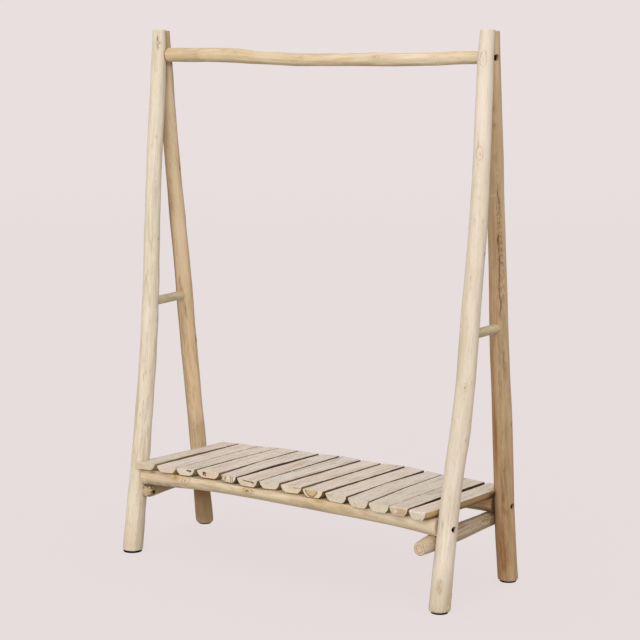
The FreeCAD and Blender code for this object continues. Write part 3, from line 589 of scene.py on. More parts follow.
class Tree:
    """Short names for building a material's nodes."""

    def __init__(self, name):
        self.mat = bpy.data.materials.new(name)
        self.mat.use_nodes = True
        self.nt = self.mat.node_tree
        self.nt.nodes.clear()
        self.out = self.nt.nodes.new("ShaderNodeOutputMaterial")
        self.bsdf = self.nt.nodes.new("ShaderNodeBsdfPrincipled")
        self.nt.links.new(self.bsdf.outputs[0], self.out.inputs[0])

    def set(self, socket, v):
        if isinstance(v, bpy.types.NodeSocket):
            self.nt.links.new(v, socket)
        elif v is not None:
            socket.default_value = v

    def attr(self, name):
        n = self.nt.nodes.new("ShaderNodeAttribute")
        n.attribute_name = name
        return n.outputs["Vector"]

    def xyz(self, v):
        n = self.nt.nodes.new("ShaderNodeSeparateXYZ")
        self.set(n.inputs[0], v)
        return n.outputs

    def vmath(self, op, a, b):
        n = self.nt.nodes.new("ShaderNodeVectorMath")
        n.operation = op
        self.set(n.inputs[0], a)
        self.set(n.inputs[1], b)
        return n.outputs[0]

    def math(self, op, a, b=None, clamp=False):
        n = self.nt.nodes.new("ShaderNodeMath")
        n.operation, n.use_clamp = op, clamp
        self.set(n.inputs[0], a)
        self.set(n.inputs[1], b)
        return n.outputs[0]

    def dot(self, a, b):
        n = self.nt.nodes.new("ShaderNodeVectorMath")
        n.operation = "DOT_PRODUCT"
        self.set(n.inputs[0], a)
        self.set(n.inputs[1], b)
        return n.outputs["Value"]

    def noise(self, v, scale=1.0, detail=2.0, rough=0.5, distort=0.0, output="Fac"):
        n = self.nt.nodes.new("ShaderNodeTexNoise")
        n.inputs["Scale"].default_value = scale
        n.inputs["Detail"].default_value = detail
        n.inputs["Roughness"].default_value = rough
        n.inputs["Distortion"].default_value = distort
        self.set(n.inputs["Vector"], v)
        return n.outputs[output]

    def range(self, v, a, b, c=0.0, d=1.0, smooth=True):
        n = self.nt.nodes.new("ShaderNodeMapRange")
        n.interpolation_type = "SMOOTHSTEP" if smooth else "LINEAR"
        self.set(n.inputs["Value"], v)
        for key, val in zip(("From Min", "From Max", "To Min", "To Max"), (a, b, c, d)):
            n.inputs[key].default_value = val
        return n.outputs["Result"]

    def mix(self, fac, a, b, blend="MIX"):
        n = self.nt.nodes.new("ShaderNodeMix")
        n.data_type, n.blend_type, n.clamp_factor = "RGBA", blend, True
        self.set(n.inputs[0], fac)
        self.set(n.inputs[6], a)
        self.set(n.inputs[7], b)
        return n.outputs[2]

    def bump(self, height, strength, distance):
        n = self.nt.nodes.new("ShaderNodeBump")
        n.inputs["Strength"].default_value = strength
        n.inputs["Distance"].default_value = distance
        self.set(n.inputs["Height"], height)
        return n.outputs["Normal"]


ALBEDO = 0.80      # share of the colours below that the wood gives back, under this light


def wood_finish(name, base, pale, warm, cool, deep, end=None, knot=(138, 100, 62), core=(88, 58, 34),
                dark=(84, 58, 36), seed=0, pale_amt=0.9, warm_amt=0.65, cool_amt=0.65, patch=0.35, streak=0.5, fiber=0.25,
                ring=0.12, end_ring=0.45, end_speck=0.45, fleck=0.5, top=None, tone_and_shade_deep=None, bump=0.35, gain=1.0,
                knot_rings=8.5, bark=None, gap_shade_dark=0.5, tips=(), flute=0.0, outer=False, holes=False, end_arcs=()):
    """Bare wood, with painted shade and highlight where its marks ask for it. base and pale are its two main colours,
    warm and cool the hues that they drift to, deep its darker grain and end its sawn ends. Where top is given, it is
    the colour of the sawn upper face (the third value of 'grain' is then its mask); else that value darkens towards the
    tone and shade colour, which stands for darker wood and also for painted shade."""
    k = ALBEDO * gain
    t = Tree(name)
    rng = np.random.RandomState(seed + 1)
    off = tuple(rng.uniform(-20, 20, 3))
    co = t.vmath("ADD", t.attr("wood"), off)
    kd, ks, dark_marks_and_shade = t.xyz(t.attr("mark"))
    fig, endg, tone = t.xyz(t.attr("grain"))
    kcore, light, rough = t.xyz(t.attr("more"))
    big = t.noise(t.vmath("MULTIPLY", co, (10, 10, 1.5)), 1.0, 2.0, 0.55)
    hue = t.noise(t.vmath("MULTIPLY", co, (70, 70, 1.9)), 1.0, 2.0, 0.5, 0.2)
    mid = t.noise(t.vmath("MULTIPLY", co, (48, 48, 4.2)), 1.0, 3.0, 0.6, 0.3)
    cell = t.noise(t.vmath("MULTIPLY", co, (85, 85, 12)), 1.0, 2.0, 0.5, 0.5)
    lines = t.noise(t.vmath("MULTIPLY", co, (270, 270, 5.0)), 1.0, 3.0, 0.6)
    gleam = t.noise(t.vmath("MULTIPLY", co, (190, 190, 4.4)), 1.0, 2.0, 0.6)
    fibre = t.noise(t.vmath("MULTIPLY", co, (1000, 1000, 22)), 1.0, 2.0, 0.6)
    dash = t.noise(t.vmath("MULTIPLY", co, (380, 380, 34)), 1.0, 1.0, 0.5)
    pores = t.noise(t.vmath("MULTIPLY", co, (800, 800, 60)), 1.0, 1.0, 0.5)
    if top is not None:
        first = t.mix(tone, lin(base, k), lin(top, k))
    else:
        first = lin(base, k)
    col = t.mix(t.range(big, 0.40, 0.60, 0.0, pale_amt), first, lin(pale, k))
    col = t.mix(t.range(hue, 0.49, 0.60, 0.0, warm_amt), col, lin(warm, k))
    col = t.mix(t.range(hue, 0.50, 0.39, 0.0, cool_amt), col, lin(cool, k))
    col = t.mix(t.range(cell, 0.545, 0.585, 0.0, patch), col, lin(pale, k * 1.03))
    col = t.mix(t.range(cell, 0.435, 0.395, 0.0, patch), col, lin(deep, k))
    col = t.mix(t.range(mid, 0.52, 0.70, 0.0, 0.45), col, lin(deep, k))
    col = t.mix(t.range(lines, 0.50, 0.68, 0.0, streak), col, lin(deep, k))
    col = t.mix(t.range(gleam, 0.53, 0.66, 0.0, streak), col, lin(pale, k * 1.05))
    col = t.mix(t.range(fibre, 0.50, 0.72, 0.0, fiber), col, lin(deep, k))
    col = t.mix(t.range(dash, 0.66, 0.71, 0.0, fleck), col, lin(deep, k * 0.75))
    col = t.mix(t.range(pores, 0.64, 0.72, 0.0, fleck * 0.6), col, lin(deep, k * 0.8))
    # tone marks: darker wood, and painted shade where the lists place them
    if tone_and_shade_deep is not None:
        col = t.mix(t.math("MULTIPLY", tone, 1.0, True), col, lin(tone_and_shade_deep, k))
    # light marks: paler wood, and partly painted highlight
    col = t.mix(t.math("MULTIPLY", light, 1.0, True), col, lin(pale, k * 1.08))
    # rough places: torn grain, mottled
    mottle = t.noise(t.vmath("MULTIPLY", co, (290, 290, 85)), 1.0, 3.0, 0.6, 0.4)
    col = t.mix(t.math("MULTIPLY", t.range(mottle, 0.47, 0.62, 0.0, 0.75), rough), col, lin(deep, k * 0.72))
    col = t.mix(t.math("MULTIPLY", t.range(mottle, 0.45, 0.34, 0.0, 0.7), rough), col, lin(pale, k * 1.05))
    # growth rings: where facets and knots cut through the layers, and on the sawn ends
    wave = t.math("SINE", t.math("MULTIPLY", t.math("ADD", fig, t.math("MULTIPLY", mid, 0.9)), 2 * math.pi))
    rings = t.range(wave, 0.1, 1.0, 0.0, 1.0)
    col = t.mix(t.math("MULTIPLY", rings, ring), col, lin(deep, k))
    if end is not None:
        speck = t.noise(t.vmath("MULTIPLY", co, (700, 700, 60)), 1.0, 2.0, 0.6)
        face = t.mix(t.range(speck, 0.42, 0.66, 0.0, end_speck), lin(end, k), lin(deep, k))
        face = t.mix(t.range(cell, 0.46, 0.60, 0.0, end_speck), face, lin(pale, k))
        face = t.mix(t.math("MULTIPLY", rings, end_ring), face, lin(deep, k * 0.9))
        col = t.mix(endg, col, face)
    if end_arcs:      # strong rings of a sawn end: radius, half width, strength, colour
        flat = t.vmath("MULTIPLY", t.attr("wood"), (1000, 1000, 0))
        rad = t.math("ADD", t.math("SQRT", t.dot(flat, flat)), t.math("MULTIPLY", t.math("SUBTRACT", cell, 0.5), 14.0))
        for r_, half, amount, hue_ in end_arcs:
            f = t.range(t.math("ABSOLUTE", t.math("SUBTRACT", rad, r_)), half, half * 0.3, 0.0, amount)
            col = t.mix(t.math("MULTIPLY", f, endg), col, lin(hue_, k))
    # knots: halo, thin uneven rings and core
    wob = t.math("ADD", kd, t.math("MULTIPLY", t.math("SUBTRACT", mid, 0.5), 0.5))
    halo = t.math("MULTIPLY", t.range(wob, 1.5, 0.2, 0.0, 0.30), ks)
    col = t.mix(halo, col, lin(deep, k))
    kring = t.range(t.math("SINE", t.math("MULTIPLY", wob, knot_rings)), 0.35, 1.0, 0.0, 1.0)
    kring = t.math("MULTIPLY", kring, t.range(lines, 0.42, 0.56, 0.25, 1.0))
    kring = t.math("MULTIPLY", t.math("MULTIPLY", kring, t.range(wob, 1.4, 0.9, 0.0, 0.85)), ks)
    col = t.mix(kring, col, lin(knot, k))
    col = t.mix(t.math("MULTIPLY", t.range(wob, 0.62, 0.25, 0.0, 0.95), kcore), col, lin(core, k))
    # dark marks: cracks and streaks, and painted shade lines where parts meet and in the bores; the darkest of them,
    # painted shade where parts meet, go nearly black
    col = t.mix(dark_marks_and_shade, col, lin(dark, k))
    col = t.mix(t.range(dark_marks_and_shade, 0.88, 1.0, 0.0, 0.9), col, lin((30, 21, 14), k))
    # painted shade inside the bores: darker with depth, nearly black deep in
    if holes:
        col = t.mix(t.range(t.xyz(t.attr("bore"))[0], 0.42, 0.85), col, lin((20, 14, 9), k))
    if bark is not None:
        tip, flank, far = t.xyz(t.attr("tip"))
        mm = t.vmath("MULTIPLY", t.attr("wood"), (1000, 1000, 0))
        shade = t.noise(t.vmath("MULTIPLY", co, (90, 90, 30)), 1.0, 2.0, 0.6)
        rind_and_shade = t.mix(t.range(shade, 0.40, 0.62, 0.0, 0.75), lin(bark, k * 1.05), lin(bark, k * 0.66))
        # painted shade on the round sides: darker deeper into the gaps between slats, and towards the lower edge
        rind_and_shade = t.mix(far, rind_and_shade, lin(bark, k * gap_shade_dark))
        rind_and_shade = t.mix(t.range(t.xyz(mm)[1], -13.0, -25.0, 0.0, 0.75), rind_and_shade, lin(bark, k * 0.30))
        # outer side of the last slat: browner low down behind the front, painted shade towards the lower edge, and
        # painted shadow near the back next to the right rear leg
        if outer:
            low = t.range(t.xyz(mm)[1], -4.0, -8.0, 0.0, 0.9)
            rind_and_shade = t.mix(t.math("MULTIPLY", low, t.range(t.xyz(t.attr("wood"))[2], -0.16, -0.10)), rind_and_shade, lin((172, 132, 86), k))
            rind_and_shade = t.mix(t.range(t.xyz(mm)[1], -10.0, -19.0, 0.0, 0.8), rind_and_shade, lin((112, 82, 52), k))
            rind_and_shade = t.mix(t.math("MULTIPLY", low, t.range(t.xyz(t.attr("wood"))[2], 0.075, 0.115, 0.0, 0.95)), rind_and_shade, lin((36, 25, 16), k))
        col = t.mix(flank, col, rind_and_shade)
        # marks of the sawn front end: middle (x, depth), half sizes, turn, strength, colour
        jag = t.vmath("MULTIPLY", t.vmath("SUBTRACT", t.noise(t.vmath("ADD", t.vmath("MULTIPLY", mm, (0.30, 0.30, 0)), off),
                                                              1.0, 2.0, 0.6, output="Color"), (0.5, 0.5, 0.5)), (6.0, 6.0, 0.0))
        pos = t.vmath("ADD", mm, jag)
        if flute:
            ribs = t.noise(t.vmath("ADD", t.vmath("MULTIPLY", mm, (0.26, 0.045, 0)), off), 1.0, 2.0, 0.5)
            col = t.mix(t.math("MULTIPLY", t.range(ribs, 0.50, 0.64, 0.0, flute), tip), col, lin(deep, k * 0.85))
            col = t.mix(t.math("MULTIPLY", t.range(ribs, 0.48, 0.36, 0.0, flute), tip), col, lin(pale, k * 1.08))
        for kind, x, z, sx, sz, turn, amount, hue_ in tips:
            c_, s_ = math.cos(math.radians(turn)), math.sin(math.radians(turn))
            q = t.vmath("SUBTRACT", pos, (x, z, 0))
            a = t.dot(q, (c_ / sx, s_ / sx, 0))
            b = t.dot(q, (-s_ / sz, c_ / sz, 0))
            d = t.math("SQRT", t.math("ADD", t.math("MULTIPLY", a, a), t.math("MULTIPLY", b, b)))
            if kind == "arc":
                f = t.range(t.math("ABSOLUTE", t.math("SUBTRACT", d, 1.0)), 0.17, 0.05, 0.0, amount)
            else:
                f = t.range(d, 1.25, 0.75, 0.0, amount)
            col = t.mix(t.math("MULTIPLY", f, tip), col, lin(hue_, k))
    t.set(t.bsdf.inputs["Base Color"], col)
    t.set(t.bsdf.inputs["Roughness"], t.range(fibre, 0.3, 0.7, 0.55, 0.78))
    t.bsdf.inputs["Specular IOR Level"].default_value = 0.25
    height = t.math("ADD", t.math("MULTIPLY", lines, 0.6), t.math("MULTIPLY", fibre, 0.4))
    height = t.math("SUBTRACT", height, t.math("MULTIPLY", rings, 0.1))
    height = t.math("ADD", height, t.math("MULTIPLY", t.math("MULTIPLY", mottle, rough), 2.0))
    t.set(t.bsdf.inputs["Normal"], t.bump(height, bump, 0.0006))
    return t.mat


def rubber_finish():
    t = Tree("pad_rubber")
    co = t.nt.nodes.new("ShaderNodeTexCoord").outputs["Object"]
    n = t.noise(co, 900.0, 3.0, 0.6)
    m = t.noise(co, 60.0, 2.0, 0.5)
    col = t.mix(t.range(m, 0.4, 0.7, 0.0, 0.6), lin((14, 9, 6)), lin((22, 15, 11)))
    t.set(t.bsdf.inputs["Base Color"], col)
    t.set(t.bsdf.inputs["Roughness"], t.range(n, 0.3, 0.7, 0.72, 0.9))
    t.set(t.bsdf.inputs["Normal"], t.bump(n, 0.3, 0.0003))
    t.bsdf.inputs["Specular IOR Level"].default_value = 0.05
    return t.mat


def steel_finish():
    t = Tree("zinc_steel")
    co = t.nt.nodes.new("ShaderNodeTexCoord").outputs["Object"]
    n = t.noise(co, 420.0, 3.0, 0.6)
    m = t.noise(co, 1800.0, 2.0, 0.5)
    col = t.mix(t.range(n, 0.35, 0.7), lin((46, 44, 42)), lin((28, 27, 26)))
    t.set(t.bsdf.inputs["Base Color"], col)
    t.bsdf.inputs["Metallic"].default_value = 1.0
    t.set(t.bsdf.inputs["Roughness"], t.range(m, 0.3, 0.7, 0.32, 0.5))
    t.set(t.bsdf.inputs["Normal"], t.bump(m, 0.15, 0.0002))
    return t.mat


def add_piece(ob, node, mat):
    ob.data.materials.clear()
    ob.data.materials.append(mat)
    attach(ob, "root")
    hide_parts(node)


# ---------------------------------------------------------------------------
# legs
# ---------------------------------------------------------------------------
def leg_pole(name, **marks):
    def at(z):
        x, y, r = leg_at(name, z)
        return (x, y, z), r
    return Pole(name + "_pole", FLOOR + PADS[name][1], TOPS[name], at, (1, 0, 0), (0, 1, 0), (0, 0, 1), **marks)


LEG_MARKS = {
    "left_front_leg": dict(seed=11, away=125, knots=[
        (1465, -52, 24, 9, 1.0, 0.20, 0.0), (1386, -69, 5, 3, 0.3, 0.35, 0.0), (1196, -46, 7, 4, 0.7, 0.40, 0.3),
        (1044, -43, 7, 5, 0.8, 0.30, 0.0), (900, 5, 7, 4, 0.8, 0.70, 0.3), (669, 25, 7, 4, 0.9, 0.80, 0.4),
        (786, -80, 9, 4, 0.5, 0.35, 0.0), (349, -20, 9, 5, 0.6, 0.35, 0.0), (140, -40, 8, 5, 0.6, 0.25, 0.0)],
        cracks_and_shade_lines=[([(1485, -58), (1476, -62), (1467, -66)], 1.8, 0.9, 0.80), ([(1469, -45), (1464, -50), (1457, -61)], 2.0, 0.9, 0.85),
                ([(1459, -60), (1453, -55), (1447, -50)], 1.7, 0.8, 0.75),
                ([(735, -60), (705, -55)], 0.9, 0.4, 0.30), ([(515, -72), (490, -68)], 0.9, 0.4, 0.28),
                ([(800, -82), (760, -80)], 0.9, 0.4, 0.25), ([(360, -14), (325, -12)], 0.9, 0.4, 0.30),
                # the last crack line, of no depth, is painted shade where the seat rail and the bearer meet the leg
                ([(191, 5), (187, 9), (183, 14)], 3.0, 0.0, 0.95)],
        # tones at angle 38 are painted shade along the edge turned away from the key light
        tones_and_shade=[(10, -60, 70, 90, 0.45), (1250, 38, 220, 9, 0.75), (850, 38, 260, 9, 0.75), (480, 38, 220, 9, 0.65)],
        light=[(1330, -60, 190, 80, 0.3)]),
    "left_rear_leg": dict(seed=23, away=125, knots=[
        (1098, 12, 7, 5, 1.5, 1.0, 0.8), (1061, -79, 8, 3, 0.3, 0.55, 0.0), (982, -87, 10, 4, 0.6, 0.7, 0.2),
        (577, 14, 9, 6, 2.0, 1.0, 1.2), (383, -91, 6, 4, 0.5, 0.6, 0.2), (415, -88, 5, 3, 0.4, 0.5, 0.2),
        (52, -99, 6, 4, 0.6, 0.9, 0.4), (300, -40, 8, 5, 0.6, 0.3, 0.0)],
        cracks_and_shade_lines=[([(690, -53), (665, -50), (640, -51)], 1.3, 0.4, 0.42), ([(775, -80), (740, -76), (712, -70)], 2.2, 0.3, 0.45)],
        # tones at angle -60 low down are painted shadow of the seat; those at 1465/-46 and 1370/-41 are painted shade
        # where this leg meets the front leg, the one at 1405/5 painted shade under the top rail, and those at angles 32
        # to 38 painted shade along the edge turned away from the key light
        tones_and_shade=[(1225, -92, 130, 12, 0.50), (1000, -90, 60, 9, 0.3), (640, -75, 90, 9, 0.25), (120, -60, 60, 95, 0.95),
               (20, -60, 60, 95, 0.59), (290, -60, 60, 90, 0.25), (1465, -103, 60, 7, 0.8), (600, -128, 420, 10, 0.62),
               (1000, -128, 260, 9, 0.60), (1475, -15, 45, 60, 0.36), (1465, -46, 45, 6, 0.8), (1370, -41, 40, 5, 0.75), (1405, 5, 8, 34, 0.75),
               (1340, 32, 80, 11, 0.40), (1150, 38, 150, 10, 0.35), (900, 38, 200, 9, 0.40), (600, 38, 230, 9, 0.35)],
        # light marks: paler wood, partly painted highlight on the side facing the key light
        light=[(1150, -40, 260, 14, 0.35), (900, -45, 160, 20, 0.5), (1330, -18, 80, 10, 0.55)]),
    "right_front_leg": dict(seed=37, away=125, knots=[
        (1426, -77, 19, 10, 0.8, 0.60, 0.0), (1186, -74, 16, 10, 0.8, 0.66, 0.0), (1016, -82, 3, 2.2, 0.4, 0.50, 0.25),
        (1013, -31, 3.5, 2.6, 0.5, 0.55, 0.3), (1106, -73, 8, 5, 0.8, 0.15, 0.0), (888, -86, 4, 3, 0.4, 0.5, 0.2),
        (856, -77, 12, 9, 0.6, 0.22, 0.0), (928, 10, 7, 5, 0.9, 1.0, 0.6), (585, -62, 9, 6, 0.8, 0.50, 0.2),
        (447, -19, 8, 6, 0.8, 0.45, 0.2), (306, -17, 6, 4, 0.8, 0.25, 0.0), (66, -71, 15, 8, 0.6, 0.42, 0.0),
        (39, 15, 5, 4, 0.7, 0.7, 0.3), (447, 22, 24, 15, 2.0, 0.0, 0.0)],
        cracks_and_shade_lines=[([(1225, -83), (1197, -78)], 0.8, 0.3, 0.26), ([(236, -90), (226, -86), (218, -88)], 1.4, 0.4, 0.42)],
        # tones at angles 14 to 38 are painted shade on the side turned away from the key light
        tones_and_shade=[(10, -45, 75, 100, 0.42), (66, -71, 19, 8, 0.65), (20, -10, 60, 16, 0.30), (560, -60, 240, 90, 0.16),
               (280, 14, 330, 15, 0.25), (1440, 22, 80, 11, 0.60), (1330, 36, 90, 9, 0.5), (960, 38, 150, 8, 0.6), (640, 38, 140, 8, 0.4)],
        light=[(1340, -60, 150, 70, 0.4)],
        rough=[(66, -71, 17, 8, 0.3), (4, -60, 14, 60, 0.9)]),
    "right_rear_leg": dict(seed=41, away=125, knots=[
        (1300, -53, 6, 4, 0.5, 0.6, 0.2), (1255, -57, 6, 4, 0.5, 0.85, 0.3), (1170, -57, 8, 4, 0.4, 0.55, 0.0),
        (884, -26, 14, 6, 1.3, 0.35, 0.0), (445, 4, 7, 4, 0.8, 0.8, 0.4), (9, -64, 3.2, 3.2, 0.2, 1.0, 0.6),
        (1120, -48, 14, 6, 0.8, 0.30, 0.0), (600, -30, 20, 5, 0.5, 0.35, 0.0)],
        cracks_and_shade_lines=[([(1101, -47), (1075, -43), (1052, -40), (1032, -34), (1018, -36)], 1.8, 1.4, 0.56),
                ([(1008, -37), (990, -39), (974, -43)], 1.4, 0.8, 0.35),
                ([(970, -45), (950, -53), (936, -46), (925, -46)], 2.4, 1.8, 0.72),
                ([(914, -46), (899, -46), (876, -50), (850, -50), (835, -53), (804, -52), (789, -42), (770, -44),
                  (754, -50), (736, -45)], 2.0, 1.6, 0.62),
                ([(700, -44), (670, -43), (625, -38), (590, -34)], 1.6, 0.5, 0.30),
                ([(330, -58), (290, -51), (268, -48), (240, -50)], 2.6, 0.3, 0.36),
                ([(300, -74), (262, -68), (235, -69), (205, -72)], 2.6, 0.3, 0.40),
                ([(120, -92), (85, -90), (50, -88)], 1.8, 0.5, 0.42)],
        tones_and_shade=[(370, -101, 100, 5, 0.5), (905, -42, 120, 10, 0.2), (60, -104, 120, 14, 0.35), (220, -139, 160, 7, 0.5),
               (560, -112, 240, 13, 0.40), (78, -68, 60, 5, 0.62), (230, -54, 260, 90, 0.29), (238, -66, 16, 6, 0.50), (205, -70, 9, 9, 0.38),
               (197, -50, 7, 8, 0.32), (140, -80, 30, 6, 0.35), (40, -85, 16, 6, 0.45),
               # these two tones at angle 38 are painted shade along the edge turned away from the key light
               (1250, 38, 280, 8, 0.35), (850, 38, 280, 9, 0.30)],
        light=[(1000, 10, 320, 9, 0.5), (884, -26, 20, 5, 0.5), (1072, -60, 3, 16, 0.5), (420, -5, 420, 13, 0.35),
               (1260, -40, 240, 40, 0.55), (880, -60, 200, 60, 0.25), (1475, -15, 50, 40, 0.45),
               (1425, -30, 55, 6, 0.85), (240, -100, 110, 14, 0.35)],
        rough=[(850, -36, 115, 10, 0.9), (1030, -42, 70, 7, 0.5), (950, -42, 40, 8, 0.6), (640, -38, 50, 5, 0.4),
               (150, -60, 90, 20, 0.10), (55, -55, 50, 20, 0.10), (310, -66, 60, 18, 0.10)]),
}
# rounding of the feet (up, inwards)
FOOT = {"left_front_leg": (4.0, 2.4), "left_rear_leg": (12.0, 7.6), "right_front_leg": (8.0, 5.6),
        "right_rear_leg": (6.5, 5.2)}

LEG_FINISH = {
    "left_front_leg": ("pale_pole", dict(base=(230, 214, 190), pale=(238, 226, 205), warm=(231, 211, 191),
                                         cool=(225, 212, 180), deep=(198, 175, 142), end=(226, 206, 176), seed=3,
                                         cool_amt=0.5, streak=0.45, tone_and_shade_deep=(206, 180, 146))),
    "right_front_leg": ("pale_pole", dict(base=(235, 218, 197), pale=(243, 230, 212), warm=(236, 216, 199),
                                          cool=(229, 215, 186), deep=(208, 186, 156), end=(230, 210, 182), seed=8,
                                          cool_amt=0.45, streak=0.26, patch=0.22, tone_and_shade_deep=(192, 170, 134),
                                          knot=(176, 132, 96))),
    "left_rear_leg": ("brown_pole", dict(base=(218, 189, 150), pale=(227, 204, 170), warm=(220, 186, 150),
                                         cool=(214, 188, 144), deep=(178, 144, 102), end=(196, 164, 124), seed=14, gain=1.10,
                                         tone_and_shade_deep=(120, 79, 24), streak=0.42)),
    "right_rear_leg": ("brown_pole", dict(base=(188, 154, 116), pale=(204, 176, 140), warm=(191, 147, 109),
                                          cool=(180, 155, 106), deep=(142, 108, 72), end=(176, 142, 104), seed=21, gain=1.08,
                                          tone_and_shade_deep=(144, 82, 20), dark=(106, 74, 46), streak=0.6)),
}

for name in LEGS:
    s = SIDE[side_of(name)]
    front = "front" in name
    pole = leg_pole(name, **LEG_MARKS[name])
    ob = pole.build(end_lo=FOOT[name], end_hi=(1.4, 1.2))
    tools = [block(-800, 800, SEAM_Y if front else SEAM_Y - 200, SEAM_Y + 200 if front else SEAM_Y, 1250, HEIGHT + 50)]
    zt = TOP_RAIL_BOLT_Z[side_of(name)]
    rt = TOP_RAIL[0][2] if s < 0 else TOP_RAIL[-1][2]
    tools.append(cylinder(rt + 1.5, (top_seat_x[name], TOP_RAIL_Y, zt), (top_seat_x[name] - s * 60, TOP_RAIL_Y, zt), 64))
    if not front:
        tools.append(cylinder(BOLT_HOLE_R, (s * 500, TOP_BOLT_Y, zt), (s * 640, TOP_BOLT_Y, zt)))
        tools.append(cylinder(CBORE_R, (s * TOP_CBORE_X, TOP_BOLT_Y, zt), (s * 640, TOP_BOLT_Y, zt)))
    zs = SEAT_RAIL_Z[name]
    x, y, r = leg_at(name, zs)
    rr = (FRONT_RAIL if front else REAR_RAIL)[0 if s < 0 else -1][2]
    xs = rail_seat_x[name]
    tools.append(cylinder(rr + 2.0, (xs, y, zs), (xs - s * 60, y, zs), 64))
    yh = y + SEAT_BOLT_SHIFT.get(name, 0.0)
    tools.append(cylinder(BOLT_HOLE_R, (x - s * 60, yh, zs), (x + s * 60, yh, zs)))
    tools.append(cylinder(CBORE_R, (x + s * (r - LEG_CBORE_DEPTH), yh, zs), (x + s * 60, yh, zs)))
    side = side_of(name) + "_bearer"
    zb, rb = lerp_list(BEARERS[side], y)
    xl = lap_x[name]
    tools.append(block(xl, xl - s * 60, y - 60, y + 60, zb - rb - 1.0, zb + rb + 1.0))
    a, b = rung_ends(side_of(name))
    d = (b - a) / np.linalg.norm(b - a)
    tools.append(cylinder(RUNG_R, a, a + d * 60, 48) if front else cylinder(RUNG_R, b - d * 60, b, 48))
    if not front:
        xa, ya, ra = leg_at(side_of(name) + "_rear_leg", APEX_Z)
        xf, yf, rf = leg_at(side_of(name) + "_front_leg", APEX_Z)
        ys = ya + ra - 9.0
        tools.append(cylinder(5.0, (0.5 * (xa + xf), ys, APEX_Z), (0.5 * (xa + xf), ys + 40, APEX_Z), 32))
    cut(ob, tools)
    pole.bores = [((x + s * (r - LEG_CBORE_DEPTH), yh, zs), (x + s * 60, yh, zs), CBORE_R, LEG_CBORE_DEPTH)]
    if not front:
        xa, ya, ra = leg_at(name, zt)
        pole.bores.append(((s * TOP_CBORE_X, TOP_BOLT_Y, zt), (s * 640, TOP_BOLT_Y, zt), CBORE_R,
                           abs(xa) + math.sqrt(ra**2 - (ya - TOP_BOLT_Y)**2) - TOP_CBORE_X))
    pole.mark(ob)
    finish_mesh(ob)
    slot, finish = LEG_FINISH[name]
    add_piece(ob, name, wood_finish(name + "_wood", holes=True, **finish))

# ---------------------------------------------------------------------------
# rails
# ---------------------------------------------------------------------------
RAIL_MARKS = {
    "top_rail": dict(seed=53, away=0, hidden=5, facets=9, knots=[
        (-400, -150, 13, 8, 1.2, 0.42, 0.0), (-270, 160, 10, 6, 0.8, 0.40, 0.2), (-40, 155, 9, 6, 0.9, 0.42, 0.2),
        (206, 161, 10, 6, 0.9, 0.42, 0.2), (395, 158, 9, 5, 0.8, 0.38, 0.1), (509, 175, 9, 6, 0.8, 0.35, 0.0),
        (110, 200, 8, 5, 0.6, 0.25, 0.0)],
        cracks_and_shade_lines=[([(-418, 172), (-409, 193), (-401, 220), (-395, 242)], 1.4, 0.5, 0.14)],
        tones_and_shade=[(-490, 185, 50, 30, 0.45), (20, 215, 120, 10, 0.2), (-230, 170, 240, 45, 0.34)],
        light=[(330, 165, 190, 22, 0.5), (-170, 150, 90, 16, 0.25)]),
    "front_seat_rail": dict(seed=59, away=0, hidden=6, facets=10, knots=[
        (-364, 148, 9, 6, 0.8, 0.75, 0.2), (-326, 166, 13, 12, 0.8, 0.62, 0.0), (-101, 175, 15, 9, 1.2, 0.85, 0.3),
        (60, 182, 10, 6, 0.5, 0.22, 0.0), (240, 176, 9, 6, 0.6, 0.25, 0.0), (411, 174, 9, 6, 0.6, 0.22, 0.0)],
        # the crack lines of no depth (at -463, -473, -474 to -345 and 514 to 521) are painted shade: under slat 1, at
        # the lower left corner and along the underside above the left bearer, and where the rail meets the right front
        # leg
        cracks_and_shade_lines=[([(-88, 186), (-78, 176), (-70, 164)], 1.4, 0.5, 0.35), ([(384, 177), (408, 175), (432, 172)], 1.8, 0.3, 0.22),
                ([(128, 157), (140, 154), (168, 159)], 2.4, 0.2, 0.34), ([(-463, 134), (-450, 131), (-436, 128)], 2.2, 0.0, 0.60),
                ([(-473, -131), (-465, -128)], 3.0, 0.0, 0.90), ([(-474, -112), (-420, -113), (-380, -110), (-345, -104)], 16.0, 0.0, 0.42),
                ([(205, 168), (236, 172), (262, 168)], 1.6, 0.2, 0.22), ([(514, 112), (518, 128), (521, 150)], 7.0, 0.0, 0.5),
                ([(518.5, 150), (520, 172), (521.5, 200)], 13.0, 0.0, 0.55),
                ([(290, 186), (318, 190), (345, 188)], 1.6, 0.2, 0.22)],
        tones_and_shade=[(-364, 148, 12, 8, 0.95), (-112, 172, 12, 7, 0.95), (330, 206, 110, 8, 0.2), (303, 163, 16, 7, 0.4),
               (220, 170, 34, 8, 0.35), (150, 165, 60, 16, 0.25), (136, 154, 12, 6, 0.35)],
        light=[(420, 170, 120, 30, 0.65), (-440, 170, 60, 22, 0.25), (-60, 172, 90, 14, 0.3), (262, 160, 26, 7, 0.5), (340, 172, 24, 6, 0.5),
               (-180, 170, 40, 10, 0.35), (20, 172, 26, 8, 0.35), (450, 160, 24, 10, 0.4)]),
    "rear_seat_rail": dict(seed=61, away=180, hidden=5, facets=9, knots=[
        (420, 200, 11, 7, 0.8, 0.45, 0.2), (470, 178, 9, 5, 0.6, 0.35, 0.0)], cracks_and_shade_lines=[],
        # these three tones are painted shade: at the right end against the rear leg, along the top under slat 14, and
        # along the lower edge
        tones_and_shade=[(505, 170, 3.5, 90, 0.95), (430, -140, 110, 8, 0.55), (440, 112, 110, 7, 0.6)]),
}
